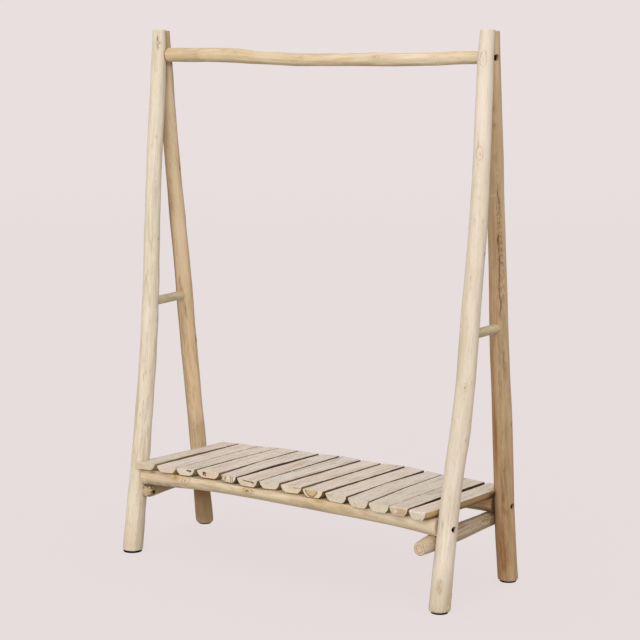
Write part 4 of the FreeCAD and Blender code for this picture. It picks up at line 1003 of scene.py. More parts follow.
RAIL_FINISH = {
    "top_rail": dict(base=(220, 198, 163), pale=(230, 214, 186), warm=(224, 196, 160), cool=(218, 198, 150),
                     deep=(186, 154, 112), end=(214, 190, 152), seed=31, gain=1.08, tone_and_shade_deep=(200, 168, 120), knot=(150, 108, 66),
                     pale_amt=0.6, streak=0.38, patch=0.45),
    "front_seat_rail": dict(base=(216, 192, 160), pale=(226, 207, 178), warm=(217, 188, 158), cool=(212, 192, 150),
                            deep=(180, 150, 112), end=(212, 188, 150), seed=35, gain=1.05, tone_and_shade_deep=(200, 166, 84),
                            knot=(140, 98, 56), pale_amt=0.5, streak=0.40, patch=0.45),
    "rear_seat_rail": dict(base=(200, 164, 118), pale=(214, 184, 140), warm=(202, 158, 112), cool=(192, 162, 106),
                           deep=(142, 106, 66), end=(198, 170, 132), seed=39, gain=1.07, tone_and_shade_deep=(60, 40, 24), streak=0.5),
}
RAILS = {"top_rail": TOP_RAIL, "front_seat_rail": FRONT_RAIL, "rear_seat_rail": REAR_RAIL}
slat_screw_at = {"front": [], "rear": []}
for i in range(len(SLATS)):
    for which in ("front", "rear"):
        x = slat_mid(i, rail_y(which, 0.0)) + SLAT_SCREW_SHIFT.get((i, which), 0.0)
        slat_screw_at[which].append((x, rail_y(which, x)))

for name, rows in RAILS.items():
    which = name.split("_")[0]

    def at(x, name=name, rows=rows, which=which):
        z, r = lerp_list(rows, x)
        return (x, TOP_RAIL_Y if name == "top_rail" else rail_y(which, x), z), r

    pole = Pole(name + "_pole", rows[0][0], rows[-1][0], at, (0, 1, 0), (0, 0, 1), (1, 0, 0), **RAIL_MARKS[name])
    if name == "top_rail":
        def rounded(t, th):
            front = step(-0.25, 0.25, -np.cos(th))
            cut_back = 0.0
            for side, s in SIDE.items():
                a, b = top_seat_x[side + "_rear_leg"], top_seat_x[side + "_front_leg"]
                u = np.clip(1 - (a + (b - a) * front - t) * s / 8.0, 0, 1)
                cut_back = cut_back + 6.0 * (1 - np.sqrt(1 - u**2))
            return cut_back
        pole.trim = rounded
    ob = pole.build(na=72)
    tools = []
    if name == "top_rail":
        for side, s in SIDE.items():
            zt = TOP_RAIL_BOLT_Z[side]
            for w in ("front", "rear"):
                xe = top_seat_x["%s_%s_leg" % (side, w)]
                y0, y1 = (SEAM_Y - 80, SEAM_Y + 0.02) if w == "front" else (SEAM_Y, SEAM_Y + 80)
                tools.append(block(xe, xe + s * 60, y0, y1, zt - 60, zt + 60))
            deep = min(abs(top_seat_x[side + "_front_leg"]), abs(top_seat_x[side + "_rear_leg"]))
            tools.append(cylinder(INSERT_R, (s * 640, TOP_BOLT_Y, zt), (s * (deep - INSERT_L), TOP_BOLT_Y, zt), 32))
            tools.append(cylinder(BOLT_HOLE_R, (s * 600, TOP_BOLT_Y, zt),
                                  (s * (TOP_CBORE_X + WASHER_T - TOP_BOLT_L - 3), TOP_BOLT_Y, zt), 24))
    else:
        tools.append(block(-800, 800, -400, 400, SLAT_SEAT, SLAT_SEAT + 80))
        for side, s in SIDE.items():
            leg = "%s_%s_leg" % (side, which)
            lx, ly, lr = leg_at(leg, SEAT_RAIL_Z[leg])
            xe, ze = rail_seat_x[leg], SEAT_RAIL_Z[leg]
            tools.append(block(xe, xe + s * 60, ly - 80, ly + 80, ze - 60, ze + 60))
            lh = ly + SEAT_BOLT_SHIFT.get(leg, 0.0)
            tools.append(cylinder(INSERT_R, (xe + s * 40, lh, ze), (xe - s * INSERT_L, lh, ze), 32))
            xu = lx + s * (lr - LEG_CBORE_DEPTH + WASHER_T)
            tools.append(cylinder(BOLT_HOLE_R, (xe + s * 40, lh, ze), (xu - s * (SEAT_BOLT_L + 3), lh, ze), 24))
            bearer = side + "_bearer"
            yc = rail_y(which, bearer_x(bearer, ly))
            xb, rb = bearer_x(bearer, yc), lerp_list(BEARERS[bearer], yc)[1]
            zr = RAIL_REST[(bearer, name)]
            tools.append(block(xb - rb - 6, xb + rb + 6, yc - 60, yc + 60, zr - 60, zr))
        for x, y in slat_screw_at[which]:
            tools.append(cylinder(4.4, (x, y, 150), (x, y, 210.0), 28))
    cut(ob, tools)
    pole.mark(ob)
    finish_mesh(ob)
    add_piece(ob, name, wood_finish(name + "_wood", **RAIL_FINISH[name]))

# ---------------------------------------------------------------------------
# bearers and rungs
# ---------------------------------------------------------------------------
def worn_end(t, th):
    near = step(-160.0, -178.0, t)
    n = fbm(np.stack([np.cos(th) * 2.2, np.sin(th) * 2.2, t / 9.0], -1), 77, 2)
    return near * (2.2 + 5.0 * np.clip(n, -0.4, 1.0) + 3.0 * np.exp(-(wrap(th + 0.9) / 0.6)**2))


BEARER_MARKS = {
    "left_bearer": dict(seed=67, away=180, hidden=4, facets=5, knots=[(-40, 20, 9, 6, 0.8, 0.4, 0.2)], cracks_and_shade_lines=[],
                        # the tone at -90, angle 84, is painted shade on top of the bearer just behind the front seat
                        # rail
                        tones_and_shade=[(-178, 130, 9, 13, 0.7), (-172, 60, 10, 30, 0.35), (-170, -10, 12, 22, 0.4), (-60, 40, 120, 60, 0.45), (-90, 84, 70, 13, 0.7)],
                        rough=[(-172, 40, 12, 60, 2.2), (-172, -50, 10, 50, 1.6)], trim=worn_end),
    "right_bearer": dict(seed=71, away=180, hidden=4, facets=5, knots=[
        (118, 48, 7, 5, 0.6, 0.6, 0.2), (100, 15, 6, 4, 0.5, 0.4, 0.0), (-190, 30, 9, 6, 0.6, 0.25, 0.0)],
        cracks_and_shade_lines=[([(70, 32), (80, 25), (88, 14)], 1.5, 0.6, 0.62), ([(80, 25), (92, 33), (100, 36)], 1.4, 0.6, 0.58),
                ([(-60, 20), (-20, 24), (30, 22)], 0.9, 0.4, 0.25), ([(-90, -5), (-40, 0), (0, -2)], 0.8, 0.4, 0.22),
                ([(108, 42), (117, 28), (124, 12), (126, -2)], 1.8, 0.6, 0.72), ([(94, 20), (104, 26), (114, 24)], 1.5, 0.6, 0.60),
                ([(40, 10), (60, 14), (76, 8)], 1.0, 0.4, 0.38), ([(-40, 46), (-10, 50), (16, 47)], 1.0, 0.4, 0.35),
                ([(20, 36), (34, 32), (52, 34)], 1.0, 0.4, 0.32)],
        # the tones at 146 and 135 are painted shade where the bearer meets the right rear leg
        tones_and_shade=[(60, 40, 130, 40, 0.18), (60, -38, 150, 9, 0.25), (146, 55, 14, 40, 0.85), (135, 12, 4, 26, 0.6), (-184, -2, 3, 22, 0.7), (-176, 42, 4, 9, 0.6)], light=[(-205, 30, 30, 60, 0.5), (40, 62, 70, 7, 0.3)],
        rough=[(110, 25, 40, 22, 0.2), (20, 30, 50, 14, 0.12)]),
}
BEARER_FINISH = {
    "left_bearer": dict(base=(204, 178, 134), pale=(219, 197, 154), warm=(204, 172, 130), cool=(198, 176, 124),
                        deep=(140, 110, 74), end=(208, 188, 148), seed=43, streak=0.6, end_speck=0.8, tone_and_shade_deep=(146, 108, 66)),
    "right_bearer": dict(base=(204, 178, 147), pale=(218, 197, 168), warm=(206, 174, 142), cool=(198, 178, 140),
                         deep=(152, 122, 92), end=(230, 208, 172), seed=47, gain=1.03, streak=0.6, tone_and_shade_deep=(112, 80, 50),
                         end_arcs=((9.5, 1.4, 0.55, (150, 112, 74)), (17.0, 2.0, 0.6, (140, 104, 68)))),
}
for name, rows in BEARERS.items():
    s = SIDE[side_of(name)]

    def at(y, name=name, rows=rows):
        z, r = lerp_list(rows, y)
        return (bearer_x(name, y), y, z), r

    pole = Pole(name + "_pole", rows[0][0], rows[-1][0], at, (1, 0, 0), (0, 0, 1), (0, 1, 0), **BEARER_MARKS[name])
    ob = pole.build(spacing=3.0, na=72, end_lo=(3.2, 3.0), end_hi=(2.6, 2.4), cap=1.0 if s < 0 else 0.4)
    tools, bores = [], []
    for which in ("front", "rear"):
        leg = "%s_%s_leg" % (side_of(name), which)
        xl, yl = lap_x[leg], leg_at(leg, 172.0)[1]
        tools.append(block(xl, xl + s * 60, yl - 45, yl + 45, 100, 240))
        ye = leg_at(leg, SEAT_RAIL_Z[leg])[1]
        yc = rail_y(which, bearer_x(name, ye))
        zr = RAIL_REST[(name, which + "_seat_rail")]
        xb = bearer_x(name, yc)
        tools.append(block(xb - 60, xb + 60, yc - 32, yc + 32, zr, zr + 60))
        zb, rb = lerp_list(rows, ye)
        yb = leg_at(leg, zb)[1]
        dy, dz = BEARER_SCREW_SHIFT.get(leg, (0.0, 0.0))
        yb, zb = yb + dy, zb + dz
        xh = bearer_x(name, yb) - s * (rb - BEARER_SCREW["recess"])
        tools.append(cylinder(BEARER_SCREW["recess_r"], (xh - s * 60, yb, zb), (xh, yb, zb), 36))
        bores.append(((xh, yb, zb), (xh - s * 60, yb, zb), BEARER_SCREW["recess_r"], 11.0))
        tools.append(cylinder(BEARER_SCREW["r"], (xh - s * 5, yb, zb), (xh + s * 60, yb, zb), 24))
    cut(ob, tools)
    pole.bores = bores
    pole.mark(ob)
    finish_mesh(ob)
    add_piece(ob, name, wood_finish(name + "_wood", holes=True, **BEARER_FINISH[name]))

RUNG_FINISH = {
    "left": dict(base=(204, 185, 155), pale=(214, 197, 168), warm=(202, 178, 150), cool=(198, 183, 142),
                 deep=(158, 132, 100), end=(210, 188, 150), seed=51, gain=1.18, streak=0.45),
    "right": dict(base=(205, 184, 157), pale=(214, 196, 168), warm=(206, 180, 152), cool=(200, 182, 146),
                  deep=(160, 136, 100), end=(210, 188, 150), seed=57, gain=1.18, streak=0.45),
}
for side in SIDE:
    a, b = rung_ends(side)
    length = float(np.linalg.norm(b - a))
    d = (b - a) / length
    e1 = np.cross(d, [0, 0, 1.0])
    e1 /= np.linalg.norm(e1)
    e2 = np.cross(e1, d)
    pole = Pole(side + "_rung_pole", 0.0, length, lambda t, a=a, d=d: (a + d * t, RUNG_R - 0.02), e1, e2, d,
                seed=73 if side == "left" else 79, lumps=0.0, facets=0, hidden=0, away=None,
                knots=[(length * 0.62, -30, 6, 4, 0.25, 0.35, 0.0)], ring=0.4)
    ob = pole.build(spacing=2.0, na=64, end_lo=(1.0, 1.0), end_hi=(1.0, 1.0))
    pole.mark(ob)
    finish_mesh(ob)
    add_piece(ob, side + "_rung", wood_finish(side + "_rung_wood", **RUNG_FINISH[side]))

# ---------------------------------------------------------------------------
# slats: half-logs, sawn flat above
# ---------------------------------------------------------------------------
# per slat, at its front end: pith (share of half width from the middle, depth below the flat face), bevel of the upper
# front edge (length, drop), slope of the end face (back per depth), roughness, strength of its rings
# BLACK fills the split in slat 3's front end, which is carved only 3 mm deep: painted shade of the split
BLACK, RUST = (44, 31, 22), (104, 66, 44)
SLAT_ENDS = [
    dict(pith=(0.10, 2.0), slope=0.02, rough=0.2, rings=0.35, tips=[("disc", -13, -9, 1.7, 4.5, 8, 0.35, (150, 120, 90))]),
    dict(pith=(-0.15, 1.0), slope=0.05, rough=0.15, rings=0.18, tips=[
        ("disc", 6, -12, 10, 6, 0, 0.3, (216, 180, 154)), ("disc", 27, -11, 4, 4, 0, 0.5, (170, 130, 95))]),
    dict(pith=(0.19, 2.2), slope=0.05, rough=0.2, rings=0.15, hole=(11, -5.6, 8, 2.2, 3.0), tips=[
        ("disc", 7, -5.2, 3.8, 2.3, 0, 1.0, BLACK), ("disc", 15, -6.2, 4.4, 2.9, 0, 1.0, BLACK),
        ("disc", 11, -5.6, 4.5, 1.7, 0, 0.9, BLACK), ("disc", 13.5, -20.0, 1.8, 2.0, 0, 0.8, (92, 68, 46)),
        ("disc", 16.5, -17.0, 1.6, 1.8, 0, 0.7, (112, 86, 60))]),
    dict(pith=(-0.30, 3.2), slope=0.04, rough=0.2, rings=0.2, hole=(-12, -7, 6, 4, 2.0), tips=[
        ("disc", 2, -6, 8, 3.2, 0, 0.25, (202, 160, 136)), ("disc", -12, -5.4, 6.6, 3.4, 0, 0.95, (112, 72, 50)),
        ("disc", -15, -9.5, 3.0, 5.0, 0, 0.95, RUST), ("disc", -8, -11.5, 2.6, 3.0, 0, 0.9, (118, 78, 54)),
        ("disc", -14, -7, 3.2, 2.6, 0, 0.6, (74, 46, 30))]),
    dict(pith=(0.05, 6.0), slope=0.02, rough=0.7, rings=0.3, flute=0.85, tips=[
        ("disc", 8, -8, 1.4, 5.5, 0, 0.6, (128, 104, 74)), ("disc", -5, -9, 2.4, 6, 0, 0.7, (246, 230, 200)),
        ("disc", -17, -10, 2.2, 6, 0, 0.5, (240, 222, 190)), ("disc", -11, -10, 1.4, 6, 0, 0.45, (158, 132, 96)),
        ("disc", 14, -10, 1.4, 6, 0, 0.45, (150, 125, 92))]),
    dict(pith=(0.62, 5.0), slope=0.12, rough=0.3, rings=0.15, hole=(14, -6.2, 9, 1.8, 2.0), tips=[
        ("disc", 10, -15, 9, 4, 0, 0.3, (238, 216, 184)), ("disc", 2, -4.6, 19, 1.5, -6.8, 0.95, (92, 62, 44)),
        ("disc", -10, -3.2, 5, 2.0, -4, 0.9, (96, 64, 44)), ("disc", 18, -6.6, 6, 2.2, -10, 0.95, (78, 52, 36))]),
    dict(pith=(-0.05, 1.0), slope=0.04, rough=0.15, rings=0.15, tips=[
        ("disc", -7, -4, 9, 2.0, -4, 0.45, (172, 156, 142)), ("disc", 4, -11, 1.6, 7, 28, 0.2, (188, 172, 156))]),
    dict(pith=(0.25, 1.5), slope=0.06, rough=0.2, rings=0.15, tips=[
        ("disc", -4, -4.5, 2.8, 2.6, 0, 0.6, (184, 164, 146)), ("disc", 18, -4.4, 14, 2.0, 0, 0.7, (172, 122, 92)),
        ("disc", 10, -8, 6, 2.2, 0, 0.35, (200, 160, 130))]),
    dict(pith=(0.02, -3.0), slope=0.05, rough=0.2, rings=0.2, tips=[
        ("disc", -3.5, 1, 17.5, 18.5, 0, 0.85, (194, 168, 112)), ("arc", -3.5, 1, 18.5, 19, 0, 0.85, (138, 100, 58)),
        ("disc", -2, -4, 6, 4, 0, 0.3, (214, 192, 140))]),
    dict(pith=(-0.10, 2.0), slope=0.05, rough=0.15, rings=0.12, tips=[
        ("disc", -20, -3.4, 12, 1.7, -2, 0.55, (168, 138, 108))]),
    dict(pith=(0.12, 6.0), slope=0.04, rough=0.3, rings=0.3, tips=[
        ("disc", 8, -12, 9, 6, 0, 0.25, (222, 190, 166)), ("disc", -9, -14, 2.0, 7, 5, 0.55, (192, 154, 124)),
        ("disc", -13, -11, 2.4, 3.2, 0, 0.45, (196, 160, 130)), ("disc", -6, -8, 3.2, 1.8, 0, 0.6, (242, 228, 206)),
        ("disc", 15, -16, 5, 1.4, 10, 0.3, (190, 150, 120))]),
    dict(pith=(0.05, 3.0), slope=0.06, rough=0.15, rings=0.15, stains=[(15, 372, 38, 11, 0.22)], tips=[("disc", 13, -12, 10, 9, 0, 0.3, (226, 208, 170))]),
    dict(pith=(0.00, 9.0), slope=0.03, rough=0.6, rings=0.5, bevel=(5.0, 3.0), stains=[(-12, 400, 42, 12, 0.28)], tips=[
        ("disc", 12, -11, 12, 10, 0, 0.6, (188, 150, 118)), ("disc", 0, -9, 7, 6, 0, 0.4, (196, 162, 132)),
        ("disc", -8, -12, 2.2, 2.6, 0, 0.75, (246, 228, 202)), ("disc", -18, -6, 7, 4, 0, 0.4, (200, 186, 170)),
        ("disc", -2, -18, 9, 2.0, 0, 0.4, (160, 122, 90))]),
    dict(pith=(-0.20, 4.0), slope=0.12, rough=0.2, rings=0.15, bevel=(7.0, 4.0), tips=[
        ("disc", 9, -20, 2.6, 1.8, 0, 0.6, (172, 134, 104)), ("disc", 13, -17, 1.8, 1.8, 0, 0.5, (180, 146, 116))]),
]
SLAT_TONES = [  # upper face, sides and ends, and bark of each slat
    ((218, 205, 190), (214, 194, 162), (168, 146, 112)), ((224, 210, 198), (222, 202, 178), (182, 146, 108)),
    ((220, 207, 194), (222, 208, 180), (150, 136, 104)), ((222, 207, 194), (224, 202, 176), (160, 128, 94)),
    ((218, 207, 195), (212, 196, 162), (112, 82, 60)), ((221, 206, 192), (222, 202, 174), (142, 112, 86)),
    ((219, 208, 197), (216, 202, 176), (160, 122, 92)), ((222, 208, 194), (222, 208, 178), (166, 140, 102)),
    ((222, 206, 190), (230, 212, 180), (124, 102, 70)), ((220, 206, 192), (216, 204, 176), (118, 92, 78)),
    ((221, 206, 194), (224, 208, 184), (146, 126, 104)), ((216, 203, 188), (218, 204, 182), (146, 130, 104)),
    ((216, 202, 188), (208, 186, 152), (136, 104, 74)), ((224, 210, 195), (224, 208, 184), (196, 166, 116)),
]


# how far the lower edge of each front end is worn up, and over which length
SLAT_LIFT = [(4.5, 16), (5.0, 16), (3.5, 14), (4.0, 12), (4.5, 12), (2.5, 12), (3.0, 12), (2.5, 12), (2.5, 12), (1.5, 12),
             (1.0, 12), (1.0, 12), (0.5, 12), (0.0, 12)]


def slat_section(h, foot=SLAT_FOOT, square=False, n_top=24, n_side=13, n_bot=9, edge=0.9):
    """Outline of a slat of half width h, clockwise from its upper left edge: (x from the middle, z)."""
    zm = 0.5 * (SEAT_TOP + SLAT_SEAT)

    def arc(mid, low):
        p = np.array([[h, SEAT_TOP + 2], [mid * h, zm], [low * h, SLAT_SEAT - 2]])
        A = np.c_[2 * p, np.ones(3)]
        cx, cz, q = np.linalg.solve(A, (p**2).sum(1))
        R = math.sqrt(q + cx**2 + cz**2)
        return lambda z: cx + np.sqrt(np.maximum(R * R - (z - cz)**2, 0))

    def half(side):
        """Top (outwards), round edge, side and underside (inwards) of one half."""
        xt = float(side(SEAT_TOP - edge))
        near = [xt - 3.8, xt - 2.5, xt - 1.5, xt - edge * 0.8]
        top = [(x, SEAT_TOP) for x in np.concatenate([np.linspace(0, xt - 5.5, n_top // 2 + 1)[1:], near])]
        turn = [(xt - edge * 0.45, SEAT_TOP - edge * 0.2), (xt - edge * 0.12, SEAT_TOP - edge * 0.55)]
        low = [(float(side(z)), float(z)) for z in np.linspace(SEAT_TOP - edge, SLAT_SEAT + 0.4, n_side)]
        xb = float(side(SLAT_SEAT + 0.4)) - 0.6
        under = [(x, SLAT_SEAT) for x in np.linspace(xb, 0, n_bot // 2 + 1)[:-1]]
        return top + turn + low + under

    right = half(arc(SLAT_SIDE + 0.4 * (foot - SLAT_FOOT), foot))
    left = half(arc(SQUARE_SIDE, SQUARE_FOOT)) if square else right
    pts = [(-x, z) for x, z in reversed(left)]
    n_under = n_bot // 2
    pts = pts[n_under:] + [(0.0, SEAT_TOP)] + right + [(0.0, SLAT_SEAT)] + pts[:n_under]
    return np.array(pts)


def make_slat(i):
    left, right, fy, ry = SLATS[i]
    e = SLAT_ENDS[i]
    seed = 200 + 7 * i
    rng = np.random.RandomState(seed)
    my = 0.25 * (sum(fy) + sum(ry))
    v = np.unique(np.concatenate([np.linspace(0, 1, 104), np.linspace(0, 0.02, 7), np.linspace(0.98, 1, 7)]))
    edge_l = rng.uniform(0, 100)
    base_h = 0.5 * (right[1] - left[1])
    sec0 = slat_section(base_h, square=i == 0)
    n = len(sec0)
    rings, info = [], []

    def ring_at(vv, inset, yoff):
        xl = np.interp(vv, [0, 0.5, 1], left)
        xr = np.interp(vv, [0, 0.5, 1], right)
        xl += (0.2 if i == 12 else 0.9) * float(vnoise(np.array([vv * 9, edge_l, 0.0]), seed))
        xr += (0.2 if i == 11 else 0.9) * float(vnoise(np.array([vv * 9, edge_l, 5.0]), seed + 1))
        xm, h = 0.5 * (xl + xr), 0.5 * (xr - xl)
        sec = slat_section(h, SLAT_FOOT + 0.20 * float(step(0.008, 0.05, np.float64(vv))), i == 0)
        f = 1 - inset / 20.0
        cz = SEAT_TOP - 11.0
        x = xm + sec[:, 0] * f
        z = cz + (sec[:, 1] - cz) * f
        yf = fy[0] + (fy[1] - fy[0]) * (x - left[0]) / (right[0] - left[0])
        yr = ry[0] + (ry[1] - ry[0]) * (x - left[2]) / (right[2] - left[2])
        yf = yf + e["slope"] * (SEAT_TOP - z)
        yr = yr - 0.05 * (SEAT_TOP - z)
        y = np.where(vv < 0.5, yf * (1 - 2 * vv) + my * 2 * vv, my * (2 - 2 * vv) + yr * (2 * vv - 1)) + yoff
        P = np.stack([x, y, z], -1)
        # natural unevenness of the round side, and a slight unevenness of the sawn face
        round_side = step(SEAT_TOP - 1.5, SEAT_TOP - 5, z)
        d = 0.55 * fbm(np.stack([x / 26, y / 60, z / 26], -1), seed + 2, 2) * round_side * step(SLAT_SEAT, SLAT_SEAT + 3, z)
        out = np.sign(x - xm) * np.minimum(1, np.abs(x - xm) / 8)
        P[:, 0] += d * out
        P[:, 2] -= np.where(z > SEAT_TOP - 0.01, 0.14 + 0.14 * fbm(np.stack([x / 7, y / 90, z * 0], -1), seed + 3, 2), 0)
        lift, L = SLAT_LIFT[i]
        w = np.clip(1 - (P[:, 1] - yf) / L, 0, 1)
        P[:, 2] += lift * w * np.clip((SEAT_TOP - 3 - P[:, 2]) / 18, 0, 1)
        if "bevel" in e:
            L, drop = e["bevel"]
            front = yf + 0 * x
            w = np.clip(1 - (P[:, 1] - front) / L, 0, 1)
            P[:, 2] = np.minimum(P[:, 2], SEAT_TOP - drop * w**1.6)
        return P

    E = 0.9
    phi = np.linspace(0, np.pi / 2, 4)
    for p in phi[::-1][:-1]:
        rings.append(ring_at(0.0, E * (1 - math.cos(p)), E * (1 - math.sin(p))))
    for vv in v:
        rings.append(ring_at(vv, 0.0, E * max(0, 1 - vv / 0.01) - E * max(0, 1 - (1 - vv) / 0.01)))
    for p in phi[1:]:
        rings.append(ring_at(1.0, E * (1 - math.cos(p)), -E * (1 - math.sin(p))))

    def caps(ring, sign, front):
        xm = 0.5 * (ring[:, 0].min() + ring[:, 0].max())
        h = 0.5 * (ring[:, 0].max() - ring[:, 0].min())
        zc = SEAT_TOP - 9.5
        k = np.argmin(np.abs(ring[:, 0] - xm) + 0.5 * np.abs(ring[:, 2] - zc))
        A = np.c_[ring[:, 0], ring[:, 2], np.ones(n)]
        plane = np.linalg.lstsq(A, ring[:, 1], rcond=None)[0]
        c = np.array([xm, plane[0] * xm + plane[1] * zc + plane[2], zc])
        out = []
        for f in (0.965, 0.92, 0.86, 0.79, 0.71, 0.62, 0.53, 0.44, 0.35, 0.26, 0.17, 0.08):
            q = c + (ring - c) * f
            bump = 0.28 * (0.5 + e["rough"]) * fbm(np.stack([q[:, 0] / 3.2, q[:, 2] / 3.2, q[:, 2] * 0], -1), seed + 9, 3)
            if front:
                bump = bump - hollow(q, xm, h)
            q[:, 1] += sign * bump
            out.append(q)
        return out

    def hollow(q, xm, h):
        """How far the front end is worn or split back at q."""
        out = np.zeros(len(q))
        if "hole" in e:
            x, z, sx, sz, depth = e["hole"]
            d2 = ((q[:, 0] - xm - x) / sx)**2 + ((q[:, 2] - (SEAT_TOP + z)) / sz)**2
            out += depth * np.exp(-np.clip(d2, 0, 40))
        return out

    first = caps(rings[0], -1, True)
    last = caps(rings[-1], 1, False)
    ob = mesh_object("slat_%02d_half_log" % (i + 1), *closed_tube(first[::-1] + rings + last))
    tools = []
    for leg in (("left_front_leg",) if i == 0 else ("right_front_leg", "right_rear_leg") if i == 13 else ()):
        x0, y0, r0 = leg_at(leg, 220.0)
        x1, y1, r1 = leg_at(leg, 275.0)
        tools.append(cylinder(max(r0, r1) + LEG_CLEAR, (x0, y0, 220.0), (x1, y1, 275.0), 96))
    if tools:
        cut(ob, tools)
    # wood coordinates and marks
    me = ob.data
    P, N = coords(me), normals(me)
    t = np.clip((P[:, 1] - sum(fy) / 2) / (sum(ry) / 2 - sum(fy) / 2), 0, 1)
    xl = np.interp(t, [0, 0.5, 1], left)
    xr = np.interp(t, [0, 0.5, 1], right)
    xm, h = 0.5 * (xl + xr), 0.5 * (xr - xl)
    wx, wz = P[:, 0] - xm, P[:, 2] - SEAT_TOP
    px, pz = e["pith"]
    drift = 3.0 * vnoise(np.stack([P[:, 1] / 110, P[:, 1] * 0, P[:, 1] * 0], -1), seed + 4)
    rp = np.hypot(wx - px * h - drift, wz + pz)
    period = 2.3 + 1.4 * rng.rand()
    endg = step(0.55, 0.85, np.abs(N[:, 1]))
    fig = rp / period + 0.25 * fbm(np.stack([wx / 6, P[:, 1] / 60, wz / 6], -1), seed + 5, 2)
    topm = step(0.55, 0.85, N[:, 2]) * step(SEAT_TOP - 3.5, SEAT_TOP - 1.2, P[:, 2])
    kd, ks = np.full(len(P), 3.0), np.zeros(len(P))
    for _ in range(rng.randint(1, 4)):
        ty, tx = rng.uniform(fy[0] + 40, ry[0] - 40), rng.uniform(-0.7, 0.7)
        ln, wd, st = rng.uniform(7, 13), rng.uniform(3, 6), rng.uniform(0.2, 0.6)
        d = np.sqrt(((P[:, 1] - ty) / ln)**2 + ((wx - tx * h) / wd)**2 + (np.minimum(wz, 0) / 14)**2)
        near = d < kd
        kd, ks = np.where(near, d, kd), np.where(near, st, ks)
    dark = np.zeros(len(P))
    for _ in range(rng.randint(2, 6)):      # short dark streaks of the sawn face
        ty, tx = rng.uniform(fy[0] + 10, ry[0] - 10), rng.uniform(-0.85, 0.85)
        ln, wd, st = rng.uniform(14, 45), rng.uniform(0.9, 2.0), rng.uniform(0.12, 0.30)
        d = ((P[:, 1] - ty) / ln)**2 + ((wx - tx * h - 0.02 * (P[:, 1] - ty)) / wd)**2
        dark = np.maximum(dark, st * np.exp(-np.clip(d, 0, 40)) * topm)
    for ty, tx, ln, wd, st in e.get("stains", ()):
        d = ((P[:, 1] - ty) / ln)**2 + ((P[:, 0] - tx - 0.35 * (P[:, 1] - ty)) / wd)**2
        spot = 0.6 + 0.8 * fbm(np.stack([P[:, 0] / 6, P[:, 1] / 20, P[:, 2] * 0], -1), seed + 15, 2)
        dark = np.maximum(dark, st * np.clip(spot, 0, 1.4) * np.exp(-np.clip(d, 0, 40)) * topm)
    yfront = fy[0] + (fy[1] - fy[0]) * (P[:, 0] - left[0]) / (right[0] - left[0]) + e["slope"] * (SEAT_TOP - P[:, 2])
    back = P[:, 1] - yfront
    # brown round sides, and the ragged line that they leave along the edges of the sawn face
    rag = 0.7 + 1.3 * fbm(np.stack([np.sign(wx) * 9.0, P[:, 1] / 18.0, wz * 0], -1), seed + 13, 3)
    flank = np.maximum((1 - topm) * step(0.3, 0.7, np.abs(wx) / h), topm * 0.8 * step(rag + 0.6, rag - 0.6, h - np.abs(wx)))
    flank = flank * (1 - endg) * step(0.4, 2.2, back)
    depth = np.clip(-wz / (SEAT_TOP - SLAT_SEAT), 0, 1)
    rim = np.maximum(step(0.80, 0.95, np.abs(wx) / (h * (1 - 0.5 * depth**2.3))), step(0.80, 0.95, depth)) * endg
    write_vector(me, "wood", np.stack([wx, wz, P[:, 1]], -1) * 0.001)
    write_vector(me, "mark", np.stack([kd, ks * topm, np.clip(dark, 0, 1)], -1))
    write_vector(me, "grain", np.stack([fig, endg, topm], -1))
    core = np.clip((ks - 0.42) / 0.35, 0, 1) * topm
    write_vector(me, "more", np.stack([core, 0.5 * rim, endg * e["rough"] * 0.7], -1))
    # far darkens the sides towards the back: painted shade deeper in the gaps between slats on the sides that face a
    # neighbour; the outer side of the last slat darkens from 40 mm behind its front
    inner = (wx > 0) if i == 0 else (wx < 0) if i == 13 else np.ones(len(P))
    far = step(15.0, 105.0, back) * inner
    if i == 13:
        far = np.where(inner, far, 0.95 * step(40.0, 100.0, back))
    write_vector(me, "tip", np.stack([endg * (N[:, 1] < 0), flank, far], -1))
    finish_mesh(ob, 40.0)
    top, sides, bark = SLAT_TONES[i]

    def shade(c, f):
        return tuple(min(255, x * f) for x in c)

    add_piece(ob, "slat_%02d" % (i + 1), wood_finish(
        "slat_%02d_wood" % (i + 1), base=sides, top=top, pale=shade(top, 1.045),
        warm=tuple(np.array(top) * (0.995, 0.962, 0.965)), cool=tuple(np.array(top) * (0.960, 0.983, 0.962)),
        deep=(172, 150, 128), end=shade(sides, 0.985),
        dark=(100, 72, 50), seed=300 + i, pale_amt=0.7, warm_amt=0.65, cool_amt=0.6, patch=0.3, streak=0.38, fiber=0.25,
        ring=0.12, end_ring=e["rings"], end_speck=0.25, fleck=0.45, bump=0.40, gain=1.13, bark=bark, tips=e["tips"],
        gap_shade_dark={5: 0.42, 9: 0.38, 12: 0.26}.get(i, 0.52), flute=e.get("flute", 0.0), outer=i == 13))


for i in range(len(SLATS)):
    make_slat(i)

# ---------------------------------------------------------------------------
# pads and fasteners keep their solid shape
# ---------------------------------------------------------------------------
rubber, steel = rubber_finish(), steel_finish()
for name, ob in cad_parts.items():
    if ob.hide_render:
        continue
    mat = rubber if name.endswith("foot_pad") else steel
    if not ob.material_slots:
        ob.data.materials.append(mat)
    for slot in ob.material_slots:
        slot.material = mat

# ---------------------------------------------------------------------------
# floor, light and camera
# ---------------------------------------------------------------------------
FLOOR_COLOR, FLOOR_GLOW = (0.066, 0.061, 0.062, 1), 0.91
YAW, PITCH, ROLL = 0.62257, 0.14347, 0.00315


